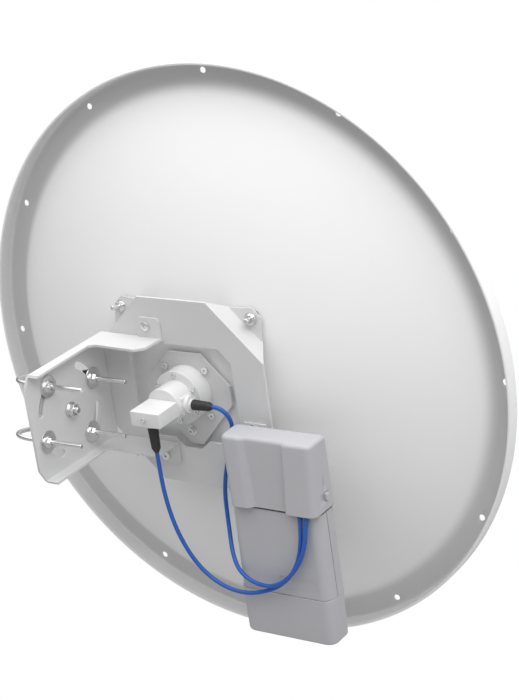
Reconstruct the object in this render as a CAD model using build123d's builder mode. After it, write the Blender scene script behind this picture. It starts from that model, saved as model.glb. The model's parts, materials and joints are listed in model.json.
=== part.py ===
# Outdoor wireless bridge: a dish antenna on a mast clamp, with a dual-port feed and a radio box.
# Millimetres. X runs sideways, Y forwards along the level beam, Z up. The mast's axis is Z, and the
# elevation pivot is the X axis. The dish side is drawn in its own frame: x sideways, y up the dish,
# z backwards from the rim plane, and that frame is tipped up about the pivot.
import os
from math import atan2, cos, degrees, hypot, pi, radians, sin, tan

from build123d import *

os.makedirs("parts", exist_ok=True)

# ---- driving dimensions -------------------------------------------------------------------
elevation = 15.3            # how far the dish is tipped up
pivot_back = 203.0          # pivot behind the rim plane
dish_side = 151.5           # dish axis to the side of the mast axis

mast_radius = 21.2
rim_hole_radius = 350.0     # radius of the circle that the rim holes stand on
rim_hole = 4.0              # radius of one rim hole
dish_depth = 112.0          # vertex behind the rim plane
bowl_radius = 337.0         # where the bowl meets the flat rim
rim_radius = 364.0
lip_depth = 20.0
dish_sheet = 1.8
bowl_rise = bowl_radius ** 2 / dish_depth   # the bowl is z = depth - r * r / rise

sheet = 3.0                 # thickness of the bent steel parts
bend = 1.5                  # inner radius of their bends
gap = 0.3                   # space left between parts that move on each other

frame_back = 126.0          # back face of the hub frame
frame_half = 116.0
frame_corner = 48.5
foot_spot = 90.5            # foot bolts, sideways and up from the dish axis

web_x = 39.0                # bracket web, on its mast side
web_reach = 272.0           # bracket web, its end behind the rim plane
flange_y = 67.5             # bracket flanges, outer face
stud_y, stud_z = 40.5, 32.0  # stud spacing along Y and Z, half of each
rod_radius = 2.65
stud_radius = 3.0
stud_tip = 92.0
pivot_radius = 4.0
slot_swing = 22.0           # travel of the studs each way in their slots
slot_width = 9.5

plate_back = 116.5          # back face of the feed plate
ring_back = 140.0           # back face of the feed's ring
body_back = 168.0
block_back = 205.0
adapter_radius = 32.5
body_radius = 22.3
tube_radius = 21.5
tube_front = -118.0
side_port_z = 151.3
low_port_z = 193.0

case_x = 137.5              # middle of the radio box
case_back_z, case_seam_z, case_front_z = 142.0, 158.0, 175.5
case_top, case_shoulder, case_foot, case_end = -24.0, -107.5, -213.0, -271.0
wall = 2.2
hood_top, hood_bottom = -22.0, -105.0
latch_y, latch_z = -88.0, 157.0
jack_z = 171.0
jack_spots = {"bottom": 172.0, "side": 185.0}
ledge_bottom, ledge_front = -50.0, 175.0

cable_radius = 2.5

# ---- frames -------------------------------------------------------------------------------
tip = radians(elevation)
dish = Plane(
    origin=(dish_side, pivot_back * cos(tip), pivot_back * sin(tip)),
    x_dir=(1, 0, 0),
    z_dir=(0, -cos(tip), -sin(tip)),
)
across_mast = Plane.YZ      # drawn in Y and Z, raised along X


def spot(x, y, z):
    """A point given in the dish frame."""
    return dish.from_local_coords(Vector(x, y, z))


def back(z):
    """Drawing plane facing backwards: x sideways, y up the dish."""
    return dish.offset(z)


def side(x):
    """Drawing plane facing sideways: y up the dish, then z backwards."""
    return Plane(origin=spot(x, 0, 0), x_dir=dish.y_dir, z_dir=dish.x_dir)


def shelf(y):
    """Drawing plane facing down the dish: x sideways, then z backwards."""
    return Plane(origin=spot(0, y, 0), x_dir=dish.x_dir, z_dir=-dish.y_dir)


def save(piece, name):
    piece.part.label = name
    export_step(piece.part, f"parts/{name}.step")


LOW = (Align.CENTER, Align.CENTER, Align.MIN)


# ---- fastener groups ----------------------------------------------------------------------
def discs(plane, spots, radius, height, bore=0.0):
    """Washers or plain round pieces standing on a plane."""
    with BuildPart(plane) as group:
        with Locations(*spots):
            Cylinder(radius, height, align=LOW)
        if bore:
            with Locations(*spots):
                Cylinder(bore, height, align=LOW, mode=Mode.SUBTRACT)
    return group


def nuts(plane, spots, across, height, bore, flange=0.0):
    """Hexagon nuts, with a round flange under each when it has a radius."""
    with BuildPart(plane) as group:
        with BuildSketch(plane):
            with Locations(*spots):
                RegularPolygon(across / 2, 6, major_radius=False)
        extrude(amount=height)
        if flange:
            with Locations(*spots):
                Cylinder(flange, 1.4, align=LOW)
        with Locations(*spots):
            Cylinder(bore, height, align=LOW, mode=Mode.SUBTRACT)
    return group


def bolts(plane, spots, head, head_height, shank, length, socket):
    """Button or cap heads standing on a plane, shanks going the other way."""
    with BuildPart(plane) as group:
        with Locations(*spots):
            Cylinder(head, head_height, align=LOW)
        rims = group.edges().filter_by(GeomType.CIRCLE).group_by(Axis(plane.origin, plane.z_dir))[-1]
        fillet(rims, head_height * 0.4)
        with BuildSketch(plane.offset(head_height)):
            with Locations(*spots):
                RegularPolygon(socket, 6)
        extrude(amount=-head_height * 0.55, mode=Mode.SUBTRACT)
        with BuildSketch(plane):
            with Locations(*spots):
                Circle(shank)
        extrude(amount=-length)
    return group


# ---- mast clamp (stays with the mast) -------------------------------------------------------
def pole_saddle():
    base_front = web_x - gap
    base_back = base_front - 3.0
    jaw_low, jaw_high = 18.0, 22.0
    bite = mast_radius * cos(radians(62))
    with BuildPart() as saddle:
        with BuildSketch(across_mast.offset(base_back)):
            RectangleRounded(104, 84, 10)
            with Locations(*[(y, z) for y in (-stud_y, stud_y) for z in (-stud_z, stud_z)]):
                Circle(stud_radius + gap, mode=Mode.SUBTRACT)
            Circle(pivot_radius + 0.05, mode=Mode.SUBTRACT)
        extrude(amount=base_front - base_back)
        for z in (jaw_low, -jaw_high):
            with BuildSketch(Plane.XY.offset(z)):
                Polygon((bite, -30), (bite, 30), (base_back, 47), (base_back, -47), align=None)
                Circle(mast_radius, mode=Mode.SUBTRACT)
            extrude(amount=jaw_high - jaw_low)
        for y in (-26, 26):
            with BuildSketch(Plane.XZ.offset(-y)):
                with Locations(((bite + 6 + base_back) / 2, 0)):
                    Rectangle(base_back - bite - 6, 2 * jaw_low)
            extrude(amount=1.5, both=True)
    return saddle


def u_bolt(level):
    bend_x = stud_y - mast_radius - rod_radius - 0.1
    with BuildPart() as rod:
        with BuildLine(Plane.XY.offset(level)) as path:
            Line((stud_tip - 1, -stud_y), (bend_x, -stud_y))
            ThreePointArc((bend_x, -stud_y), (bend_x - stud_y, 0), (bend_x, stud_y))
            Line((bend_x, stud_y), (stud_tip - 1, stud_y))
        with BuildSketch(Plane(origin=path.wires()[0] @ 0, z_dir=path.wires()[0] % 0)):
            Circle(rod_radius)
        sweep()
        for y in (-stud_y, stud_y):
            with BuildSketch(across_mast.offset(30)):
                with Locations((y, level)):
                    Circle(stud_radius)
            extrude(amount=stud_tip - 30)
        ends = rod.faces().sort_by(Axis.X)[-2:]
        chamfer(ends.edges(), 0.8)
    return rod


def clamp_hardware():
    studs = [(y, z) for y in (-stud_y, stud_y) for z in (-stud_z, stud_z)]
    seat = web_x + sheet + gap
    save(discs(across_mast.offset(seat), studs, 13.0, 1.6, stud_radius + 0.2), "u_bolt_washers")
    save(nuts(across_mast.offset(seat + 1.6), studs, 10.0, 6.0, stud_radius, 7.0), "u_bolt_nuts")
    save(discs(across_mast.offset(seat), [(0, 0)], 9.0, 1.6, pivot_radius), "pivot_washer")
    save(nuts(across_mast.offset(seat + 1.6), [(0, 0)], 13.0, 6.5, pivot_radius), "pivot_nut")
    head_x = web_x - gap - sheet
    with BuildPart() as pivot:
        with BuildSketch(across_mast.offset(head_x)):
            RegularPolygon(6.5, 6, major_radius=False)
        extrude(amount=-5.3)
        with BuildSketch(across_mast.offset(head_x)):
            Circle(pivot_radius)
        extrude(amount=web_x + sheet + 13 - head_x)
        chamfer(pivot.faces().sort_by(Axis.X)[-1].edges(), 0.8)
    save(pivot, "pivot_bolt")


# ---- tilting bracket ------------------------------------------------------------------------
def pole_bracket():
    web = web_x - dish_side
    front = frame_back + 0.2
    tab = (-52.0, -19.0)
    inner_y = flange_y - sheet
    with BuildPart() as bracket:
        with BuildSketch(back(front)) as channel:
            Polygon(
                (web, -flange_y), (web, flange_y), (tab[1], flange_y), (tab[1], inner_y),
                (web + sheet, inner_y), (web + sheet, -inner_y), (tab[1], -inner_y),
                (tab[1], -flange_y), align=None,
            )
            folds = channel.vertices().group_by(Axis.X)
            fillet(folds[0], bend + sheet)
            fillet(channel.vertices().filter_by_position(Axis.X, web + sheet - 0.1, web + sheet + 0.1),
                   bend)
        extrude(amount=web_reach - front)
        with BuildSketch(side(web)):
            Polygon(
                (flange_y, front), (flange_y, 262), (49, web_reach),
                (-49, web_reach), (-flange_y, 262), (-flange_y, front), align=None,
            )
        extrude(amount=tab[1] - web, mode=Mode.INTERSECT)
        with BuildSketch(shelf(flange_y)):
            Polygon(
                (web, front), (web, web_reach), (web + sheet + bend, web_reach), (web + 18, 262),
                (-96, 168.5), (-89, 164), (-32, 166.5), (-21.5, 157.5), (tab[1], front), align=None,
            )
        extrude(amount=2 * flange_y, mode=Mode.INTERSECT)
        with BuildSketch(side(web)):
            with Locations((0, pivot_back)):
                Circle(pivot_radius + 0.05)
                for middle in (atan2(stud_y, stud_z), atan2(stud_y, -stud_z),
                               atan2(-stud_y, stud_z), atan2(-stud_y, -stud_z)):
                    with BuildLine(mode=Mode.PRIVATE) as track:
                        CenterArc((0, 0), hypot(stud_y, stud_z),
                                  degrees(middle) - slot_swing, 2 * slot_swing)
                    SlotArc(track.edge(), slot_width)
        extrude(amount=sheet, mode=Mode.SUBTRACT)
        for way in (1, -1):
            with BuildSketch(back(front)):
                with Locations(((tab[0] + tab[1]) / 2, way * (flange_y - 1 + 92) / 2)):
                    RectangleRounded(tab[1] - tab[0], 92 - flange_y + 1, 6)
                with Locations(((tab[0] + tab[1]) / 2, way * (flange_y + 2.5))):
                    Rectangle(tab[1] - tab[0], 11)
                with Locations((-38, way * 82)):
                    Circle(3.3, mode=Mode.SUBTRACT)
            extrude(amount=sheet)
        with BuildSketch(shelf(-flange_y)):
            with Locations((-61.5, 150)):
                Circle(2.6)
        extrude(amount=0.5 - sheet, mode=Mode.SUBTRACT)
    return bracket


def bracket_hardware():
    spots = [(-38, 82), (-38, -82)]
    save(bolts(back(frame_back + 0.2 + sheet), spots, 5.5, 3.6, 3.0, 14.0, 2.0), "bracket_bolts")
    save(nuts(back(frame_back - sheet - 5.2), spots, 10.0, 5.0, 3.0, 6.5), "bracket_nuts")
    save(bolts(shelf(-flange_y), [(-61.5, 150)], 4.5, 3.0, 2.5, 2.3, 1.6), "earth_screw")


# ---- hub frame ------------------------------------------------------------------------------
slope = 2 * foot_spot * 2 ** 0.5 / bowl_rise      # tangent of the bowl's slope at the feet
foot_radius = foot_spot * 2 ** 0.5
foot_z = dish_depth - foot_radius ** 2 / bowl_rise  # back of the bowl at the feet
pad = 3.0


def foot_plane(turn, lift):
    """Plane lying on the bowl's back at one foot, raised off it; x points away from the dish axis."""
    away = Vector(cos(radians(turn)), sin(radians(turn)), 0)
    out = (away + Vector(0, 0, -slope)).normalized()
    up = (Vector(0, 0, 1) + away * slope).normalized()
    start = away * foot_radius + Vector(0, 0, foot_z) + up * lift
    origin = spot(start.X, start.Y, start.Z)
    return Plane(
        origin=origin,
        x_dir=spot(out.X, out.Y, out.Z) - spot(0, 0, 0),
        z_dir=spot(up.X, up.Y, up.Z) - spot(0, 0, 0),
    )


foot_turns = (45, 135, 225, 315)


def hub_frame():
    front = frame_back - sheet
    half, corner = frame_half, frame_corner
    with BuildPart() as frame:
        with BuildSketch(back(front)):
            Polygon(
                (half, corner), (corner, half), (-corner, half), (-half, corner),
                (-half, -corner), (-corner, -half), (corner, -half), (half, -corner), align=None,
            )
            Polygon(
                (72, 44.5), (56, 60.5), (-56, 60.5), (-72, 44.5), (-72, -43), (-56, -59),
                (-25, -59), (-12, -70), (12, -70), (25, -59), (56, -59), (72, -43),
                align=None, mode=Mode.SUBTRACT,
            )
            with Locations((-38, 82), (-38, -82)):
                Circle(3.3, mode=Mode.SUBTRACT)
            with Locations((94, -30), (94, -44)):
                Circle(2.7, mode=Mode.SUBTRACT)
        extrude(amount=sheet)
        for turn in foot_turns:
            low = foot_plane(turn, pad + gap)
            away = Vector(cos(radians(turn)), sin(radians(turn)), 0)
            along = Vector(-sin(radians(turn)), cos(radians(turn)), 0)
            crease = (half + corner) / 2 ** 0.5
            top = away * (crease - 1.2) + Vector(0, 0, front)
            reach = low.to_local_coords(spot(top.X, top.Y, top.Z))
            with BuildSketch(low):
                Polygon((-10.6, -27.6), (-10.6, 27.6), (9.5, 7.5), (9.5, -7.5), align=None)
                Circle(3.3, mode=Mode.SUBTRACT)
            extrude(amount=sheet)
            with BuildSketch(Plane(origin=spot(top.X, top.Y, top.Z),
                                   x_dir=spot(along.X, along.Y, 0) - spot(0, 0, 0),
                                   z_dir=dish.z_dir)):
                with Locations((0, 0)):
                    Rectangle(94, 2.4)
            with BuildSketch(low.offset(sheet / 2)):
                with Locations((-10.0, 0)):
                    Rectangle(1.2, 55)
            loft()
    return frame


def frame_hardware():
    head_gap = 0.1
    nut_high = 5.0
    for name, make in (
        ("foot_pads", lambda p: discs(p, [(0, 0)], 9.0, pad, 3.3)),
        ("frame_washers", lambda p: discs(p.offset(pad + gap + sheet), [(0, 0)], 7.8, 1.6, 3.2)),
        ("frame_nuts", lambda p: nuts(p.offset(pad + gap + sheet + 1.6), [(0, 0)],
                                      10.0, nut_high, 3.0, 6.5)),
        ("frame_bolts", lambda p: bolts(Plane(origin=p.offset(-dish_sheet - head_gap).origin,
                                              x_dir=p.x_dir, z_dir=-p.z_dir),
                                        [(0, 0)], 6.0, 3.0, 3.0, 24.0, 2.0)),
    ):
        with BuildPart() as group:
            for turn in foot_turns:
                add(make(foot_plane(turn, 0.0)).part)
        save(group, name)


# ---- reflector ------------------------------------------------------------------------------
def bowl_point(radius, lift=0.0):
    return (radius, dish_depth - radius ** 2 / bowl_rise + lift)


def reflector_dish():
    hole = 26.0
    axis = Axis(dish.origin, dish.z_dir)
    section = Plane(origin=dish.origin, x_dir=dish.x_dir, z_dir=-dish.y_dir)
    with BuildPart() as reflector:
        with BuildSketch(section):
            with BuildLine():
                back_run = Spline(*[bowl_point(r) for r in (hole, 110, 190, 265, bowl_radius)])
                Polyline(
                    (bowl_radius, 0), (rim_radius - 5, 0), (rim_radius - 3.5, 1.5),
                    (rim_radius - 3.5, lip_depth), (rim_radius, lip_depth), (rim_radius, 1.5),
                    (rim_radius - 3.5, -dish_sheet), (bowl_radius, -dish_sheet),
                )
                front_run = Spline(*[bowl_point(r, -dish_sheet)
                                     for r in (bowl_radius, 265, 190, 110, hole)])
                Line(front_run @ 1, back_run @ 0)
            make_face()
        revolve(axis=axis)
        with BuildSketch(back(-10)):
            with PolarLocations(rim_hole_radius, 12):
                Circle(rim_hole)
        extrude(amount=20, mode=Mode.SUBTRACT)
        for turn in foot_turns:
            with BuildSketch(foot_plane(turn, -8)):
                Circle(3.3)
            extrude(amount=16, mode=Mode.SUBTRACT)
        with BuildSketch(back(dish_depth - 8)):
            with Locations(*[(x, y) for x in (-28.3, 28.3) for y in (-28.3, 28.3)], (-4, -51)):
                Circle(2.4)
        extrude(amount=12, mode=Mode.SUBTRACT)
    return reflector


# ---- feed -----------------------------------------------------------------------------------
plate_spots = [(x, y) for x in (-28.3, 28.3) for y in (-28.3, 28.3)]


def feed_mounting():
    with BuildPart() as plate:
        with BuildSketch(back(plate_back - sheet)):
            Polygon(
                (23, 47), (58, 11), (58, -13), (9, -68), (-9, -68), (-58, -13), (-58, 11),
                (-23, 47), align=None,
            )
            Circle(24.1, mode=Mode.SUBTRACT)
            with Locations(*plate_spots, (-4, -51)):
                Circle(2.4, mode=Mode.SUBTRACT)
        extrude(amount=sheet)
    save(plate, "feed_plate")
    with BuildPart() as gasket:
        with BuildSketch(back(dish_depth + 0.1)):
            Circle(46)
            Circle(27, mode=Mode.SUBTRACT)
            with Locations(*plate_spots):
                Circle(2.6, mode=Mode.SUBTRACT)
        extrude(amount=plate_back - sheet - dish_depth - 0.2)
    save(gasket, "feed_gasket")
    save(bolts(back(plate_back), plate_spots, 4.3, 3.4, 2.2, 13.0, 1.7), "feed_plate_screws")
    low = dish_depth - 40 ** 2 / bowl_rise - dish_sheet
    save(nuts(back(low - 4.4), plate_spots, 7.0, 3.6, 2.2), "feed_plate_nuts")
    with BuildPart() as ground:
        add(bolts(back(plate_back + 1.0), [(-4, -51)], 4.3, 4.0, 2.2, 7.0, 1.7).part)
        add(discs(back(plate_back), [(-4, -51)], 6.0, 1.0, 2.2).part)
    save(ground, "ground_screw")


def feed_stack():
    ring = 3.8
    with BuildPart() as adapter:
        with BuildSketch(back(plate_back)):
            Circle(adapter_radius)
            Circle(tube_radius - 2, mode=Mode.SUBTRACT)
        extrude(amount=ring_back - ring - plate_back)
        with BuildSketch(back(103)):
            Circle(24)
            Circle(tube_radius + 0.02, mode=Mode.SUBTRACT)
        extrude(amount=plate_back - 103)
    save(adapter, "feed_adapter")
    with BuildPart() as lock:
        with BuildSketch(back(103)):
            RegularPolygon(31, 8, rotation=22.5)
            Circle(24.05, mode=Mode.SUBTRACT)
        extrude(amount=dish_depth - dish_sheet - 1.2 - 103)
    save(lock, "feed_lock_ring")
    with BuildPart() as body:
        with BuildSketch(back(ring_back - ring)):
            Circle(adapter_radius)
        extrude(amount=ring)
        with BuildSketch(back(ring_back)):
            Circle(body_radius)
        extrude(amount=body_back - ring_back)
        chamfer(body.faces().sort_by(Axis(dish.origin, dish.z_dir))[-1].edges(), 0.6)
        with BuildSketch(side(14)):
            with Locations((0, side_port_z)):
                Rectangle(21, 20)
        extrude(amount=8.8)
        with BuildSketch(back(ring_back - ring)):
            Circle(tube_radius - 2)
        extrude(amount=body_back - ring_back + ring - 2.0, mode=Mode.SUBTRACT)
        with BuildSketch(side(14)):
            with Locations((0, side_port_z)):
                Circle(4)
        extrude(amount=10, mode=Mode.SUBTRACT)
        with BuildSketch(back(ring_back - ring)):
            with PolarLocations(28.5, 6, 30):
                Circle(1.8)
        extrude(amount=ring, mode=Mode.SUBTRACT)
    save(body, "feed_body")
    ring_spots = [(28.5 * cos(radians(t)), 28.5 * sin(radians(t))) for t in range(30, 390, 60)]
    save(bolts(back(ring_back), ring_spots, 2.9, 2.2, 1.5, ring - 0.2, 1.2), "feed_ring_screws")
    with BuildPart() as block:
        with BuildSketch(back(body_back)):
            Rectangle(40, 18)
        extrude(amount=block_back - body_back)
        with BuildSketch(back(body_back)):
            Rectangle(35, 13)
        extrude(amount=block_back - body_back - 2.5, mode=Mode.SUBTRACT)
        with BuildSketch(shelf(-6)):
            with Locations((0, low_port_z)):
                Circle(4)
        extrude(amount=4, mode=Mode.SUBTRACT)
        with BuildSketch(back(block_back)):
            with Locations((-1.5, 0)):
                Circle(1.65)
        extrude(amount=-4, mode=Mode.SUBTRACT)
    save(block, "feed_end_block")
    save(bolts(back(block_back), [(-1.5, 0)], 3.2, 2.4, 1.6, 1.5, 1.3), "tuning_screw")


def port_jack(plane, flange, thick, barrel, inside):
    """Round-flange coaxial jack standing on a plane: flange, barrel and the probe inside."""
    with BuildPart(plane) as jack:
        Cylinder(flange, thick, align=LOW)
        with Locations((0, 0, thick)):
            Cylinder(4.4, barrel, align=LOW)
        with Locations((0, 0, -inside)):
            Cylinder(2.2, inside, align=LOW)
    return jack


def side_plane(x):
    return Plane(origin=spot(x, 0, side_port_z), x_dir=dish.y_dir, z_dir=dish.x_dir)


def low_plane(y):
    return Plane(origin=spot(0, y, low_port_z), x_dir=dish.x_dir, z_dir=-dish.y_dir)


def feed_ports():
    save(port_jack(side_plane(22.8), 10.2, 4.6, 5.6, 8.0), "side_port_jack")
    save(port_jack(low_plane(-9), 9.6, 2.3, 5.2, 2.4), "bottom_port_jack")


def feed_front():
    axis = Axis(dish.origin, dish.z_dir)
    with BuildPart() as tube:
        with BuildSketch(back(tube_front)):
            Circle(tube_radius)
            Circle(tube_radius - 2, mode=Mode.SUBTRACT)
        extrude(amount=plate_back - 0.2 - tube_front)
    save(tube, "feed_tube")
    section = Plane(origin=dish.origin, x_dir=dish.x_dir, z_dir=-dish.y_dir)
    with BuildPart() as cone:
        with BuildSketch(section):
            Polygon((0, -100), (tube_radius - 2.2, -108), (tube_radius - 2.2, -118.2),
                    (38, -140), (38, -146), (0, -146), align=None)
        revolve(axis=axis)
    save(cone, "feed_cone")
    with BuildPart() as splash:
        with BuildSketch(back(-149)):
            Circle(40)
        extrude(amount=2.8)
    save(splash, "splash_plate")
    with BuildPart() as radome:
        with BuildSketch(section) as cup:
            Polygon((0, -104), (24, -104), (46, -112), (46, -160), (0, -160), align=None)
            edge = cup.vertices().sort_by(Axis.X)[-2:]
            fillet(edge.sort_by(Axis.Y)[0], 12)
        revolve(axis=axis)
        with BuildSketch(section) as room:
            Polygon((0, -106.2), (24.4, -106.2), (44, -113.4), (44, -158), (0, -158), align=None)
            edge = room.vertices().sort_by(Axis.X)[-2:]
            fillet(edge.sort_by(Axis.Y)[0], 10)
        revolve(axis=axis, mode=Mode.SUBTRACT)
        with BuildSketch(back(-112)):
            Circle(tube_radius + 0.05)
        extrude(amount=10, mode=Mode.SUBTRACT)
    save(radome, "feed_radome")


# ---- radio box ------------------------------------------------------------------------------
def outline(left, right, top, left_end, right_end, end, inset=0.0):
    """Tapered box outline in the dish frame, pulled in by the inset."""
    return (
        (left + inset, top - inset), (right - inset, top - inset),
        (right_end - inset, end + inset), (left_end + inset, end + inset),
    )


neck = dict(left=89, right=186.0, top=case_top - 3, left_end=90.5, right_end=186.0, end=-112)
trunk = dict(left=77.5, right=197, top=case_shoulder, left_end=75, right_end=197.5, end=case_foot)
throat = dict(left=84.5, right=188.5, top=-200, left_end=84.5, right_end=188.5, end=-240)
edge_round = 13.0           # rounding of the long front edges of the box


def slab(shape, low, high, corner, inset=0.0, mode=Mode.ADD, rounded=4):
    """Tapered slab between two depths; its lower corners are rounded first, then the upper ones."""
    with BuildSketch(back(low)) as face:
        Polygon(*outline(**shape, inset=inset), align=None)
        if rounded:
            fillet(face.vertices().sort_by(Axis.Y)[:rounded], corner)
    extrude(face.sketch, amount=high - low, mode=mode)


def side_edges(part, which):
    """The two long edges of the part's foremost (0) or rearmost (-1) face."""
    edges = part.faces().sort_by(Axis(dish.origin, dish.z_dir))[which].edges()
    return edges.filter_by(lambda e: abs(e.center().X - dish_side - case_x) > 40)


def network_slot():
    """Way through the box's lower end for the network jack."""
    with BuildSketch(shelf(-234)) as slot:
        with Locations((case_x, 157.8)):
            Rectangle(15.4, 12.8)
    extrude(slot.sketch, amount=8, mode=Mode.SUBTRACT)


def case_back():
    with BuildPart() as tray:
        slab(trunk, case_back_z, case_seam_z - 0.5, 8, rounded=0)
        fillet(side_edges(tray, 0), 4)
        slab(neck, case_back_z, case_seam_z - 0.5, 8)
        slab(throat, case_back_z + 2.6, case_seam_z - 0.5, 4)
        slab(trunk, case_back_z + wall, case_seam_z, 6, wall, Mode.SUBTRACT)
        slab(neck, case_back_z + wall, case_seam_z, 6, wall, Mode.SUBTRACT)
        slab(throat, case_back_z + 2.6 + wall, case_seam_z, 2, wall, Mode.SUBTRACT)
        with BuildSketch(back(case_back_z)):
            with Locations(*bracket_spots):
                Circle(4.5)
        extrude(amount=7)
        with BuildSketch(back(case_back_z)):
            with Locations(*bracket_spots):
                Circle(1.8)
        extrude(amount=6, mode=Mode.SUBTRACT)
        with BuildSketch(back(case_back_z + wall)):
            with Locations(*board_spots):
                Circle(3.5)
                Circle(1.55, mode=Mode.SUBTRACT)
        extrude(amount=5.8)
        network_slot()
    return tray


def case_front():
    seam = case_seam_z + 0.5
    ledge = dict(left=165, right=189.6, top=-30, left_end=165, right_end=190.4, end=ledge_bottom)
    with BuildPart() as cover:
        slab(trunk, seam, case_front_z, 8, rounded=0)
        fillet(side_edges(cover, -1), edge_round)
        slab(neck, seam, 162.5, 8)
        slab(throat, seam, case_front_z - 2.6, 4)
        slab(ledge, seam, ledge_front, 3)
        slab(trunk, seam, case_front_z - 8, 2, wall + 1, Mode.SUBTRACT)
        slab(trunk, seam, case_front_z - wall, 2, 9.5, Mode.SUBTRACT)
        slab(neck, seam, 162.5 - wall, 6, wall, Mode.SUBTRACT)
        slab(throat, seam, case_front_z - 2.6 - wall, 2, wall, Mode.SUBTRACT)
        slab(ledge, seam, ledge_front - wall, 1, wall, Mode.SUBTRACT)
        with BuildSketch(back(case_front_z)):
            Polygon((133, -190), (184, -190), (184, -205), (133, -205), align=None)
        extrude(amount=-0.6, mode=Mode.SUBTRACT)
        with BuildSketch(shelf(ledge_bottom + 3)):
            with Locations(*[(x, jack_z) for x in jack_spots.values()]):
                Circle(1.8)
        extrude(amount=5, mode=Mode.SUBTRACT)
        network_slot()
    return cover


bracket_spots = [(112, -70), (163, -70), (112, -140), (163, -140)]
board_spots = [(96, -118), (179, -118), (96, -205), (179, -205)]


def case_inside():
    seal = case_seam_z - 0.5
    with BuildPart() as gasket:
        slab(trunk, seal, seal + 1, 7, 0.4)
        slab(neck, seal, seal + 1, 7, 0.4)
        slab(throat, seal, seal + 1, 3, 0.4)
        slab(trunk, seal, seal + 1, 5, wall, Mode.SUBTRACT)
        slab(neck, seal, seal + 1, 5, wall, Mode.SUBTRACT)
        slab(throat, seal, seal + 1, 2, wall, Mode.SUBTRACT)
        network_slot()
    save(gasket, "case_gasket")
    board_z = case_back_z + wall + 5.8
    with BuildPart() as board:
        with BuildSketch(back(board_z)):
            Polygon((88, -114), (187, -114), (187, -209), (88, -209), align=None)
            Polygon((98.5, -112), (177.5, -112), (179, -34), (97, -34), align=None)
            with Locations((137.5, -112)):
                Rectangle(80, 12)
            with Locations(*board_spots):
                Circle(1.6, mode=Mode.SUBTRACT)
        extrude(amount=1.6)
    save(board, "circuit_board")
    save(bolts(back(board_z + 1.6), board_spots, 2.6, 1.8, 1.5, 6.0, 1.1), "board_screws")
    with BuildPart() as cans:
        with BuildSketch(back(board_z + 1.6)):
            with Locations((115, -150), (158, -142)):
                RectangleRounded(34, 44, 2)
        extrude(amount=4.5)
    save(cans, "shield_cans")
    with BuildPart() as socket:
        with BuildSketch(back(board_z + 1.7)):
            with Locations((case_x, -227)):
                Rectangle(15, 22)
        extrude(amount=12)
        with BuildSketch(shelf(-238)):
            with Locations((case_x, board_z + 8)):
                Rectangle(11.5, 7)
        extrude(amount=-14, mode=Mode.SUBTRACT)
    save(socket, "network_jack")
    with BuildPart() as jacks:
        for x in jack_spots.values():
            with BuildSketch(shelf(ledge_bottom)):
                with Locations((x, jack_z)):
                    RegularPolygon(4.6, 6)
            extrude(amount=2.0)
            with BuildSketch(shelf(ledge_bottom - 2.0)):
                with Locations((x, jack_z)):
                    Circle(3.1)
            extrude(amount=5.0)
            with BuildSketch(shelf(ledge_bottom)):
                with Locations((x, jack_z)):
                    Circle(1.7)
            extrude(amount=-8.0)
    save(jacks, "radio_jacks")


def hood_section(y, front, left, right, inset):
    """Closed section of the hood: two lobes and the recess between them."""
    groove = 2.5 + (hood_top - y) / (hood_top - hood_bottom) * 3.5
    lobe_left = left + 24
    lobe_right = 163 - (hood_top - y) / (hood_top - hood_bottom) * 3
    low = case_back_z - 2.3 + inset
    return (
        (left + inset, low), (left + inset, front - inset), (lobe_left - inset, front - inset),
        (lobe_left + 8 - inset, front - groove - inset),
        (lobe_right - 3.5 + inset, front - groove - inset), (lobe_right + inset, front - inset),
        (right - inset, front - inset), (right - inset, low),
    )


def hood_loft(inset, top, bottom, mode):
    sections = []
    for place, y, front, left, right in (
        (top, hood_top, 178, 79, 198), (bottom, hood_bottom, 184, 84, 198.5),
    ):
        with BuildSketch(shelf(place)) as face:
            Polygon(*hood_section(y, front, left, right, inset), align=None)
            corners = face.vertices().sort_by(Axis.X)
            for pair, back_round, front_round in ((corners[:2], 7, 9), (corners[-2:], 13, 14)):
                low, high = pair.sort_by(Axis.Y)
                fillet(low, back_round - inset)
                fillet(high, front_round - inset)
            fillet(corners[2:-2], 1.8)
        sections.append(face.sketch)
    loft(sections, mode=mode)


def cable_hood():
    with BuildPart() as hood:
        hood_loft(0, hood_top, hood_bottom, Mode.ADD)
        with BuildSketch(shelf(hood_top)) as crown:
            with Locations(((79 + 198) / 2, (case_back_z - 2.3 + 178) / 2 - 2)):
                RectangleRounded(198 - 79 - 5, 178 - case_back_z - 6, 13)
        extrude(amount=-2.5, taper=25)
        hood_loft(2.0, hood_top - 1.0, hood_bottom - 0.5, Mode.SUBTRACT)
        with BuildSketch(shelf(-30)):
            with Locations((137.5, 140)):
                Rectangle(92, 8)
        extrude(amount=80, mode=Mode.SUBTRACT)
        with BuildSketch(side(190)):
            with Locations((latch_y, latch_z)):
                Rectangle(8.6, 6.6)
        extrude(amount=12, mode=Mode.SUBTRACT)
    return hood


def hood_latch():
    with BuildPart() as latch:
        with BuildSketch(side(192.9)):
            with Locations((latch_y, latch_z)):
                Rectangle(12, 7.6)
        extrude(amount=1.4)
        with BuildSketch(side(194.3)):
            with Locations((latch_y, latch_z)):
                Rectangle(8, 6)
        extrude(amount=7.2)
        chamfer(latch.faces().sort_by(Axis.X)[-1].edges(), 0.8)
    return latch


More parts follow.
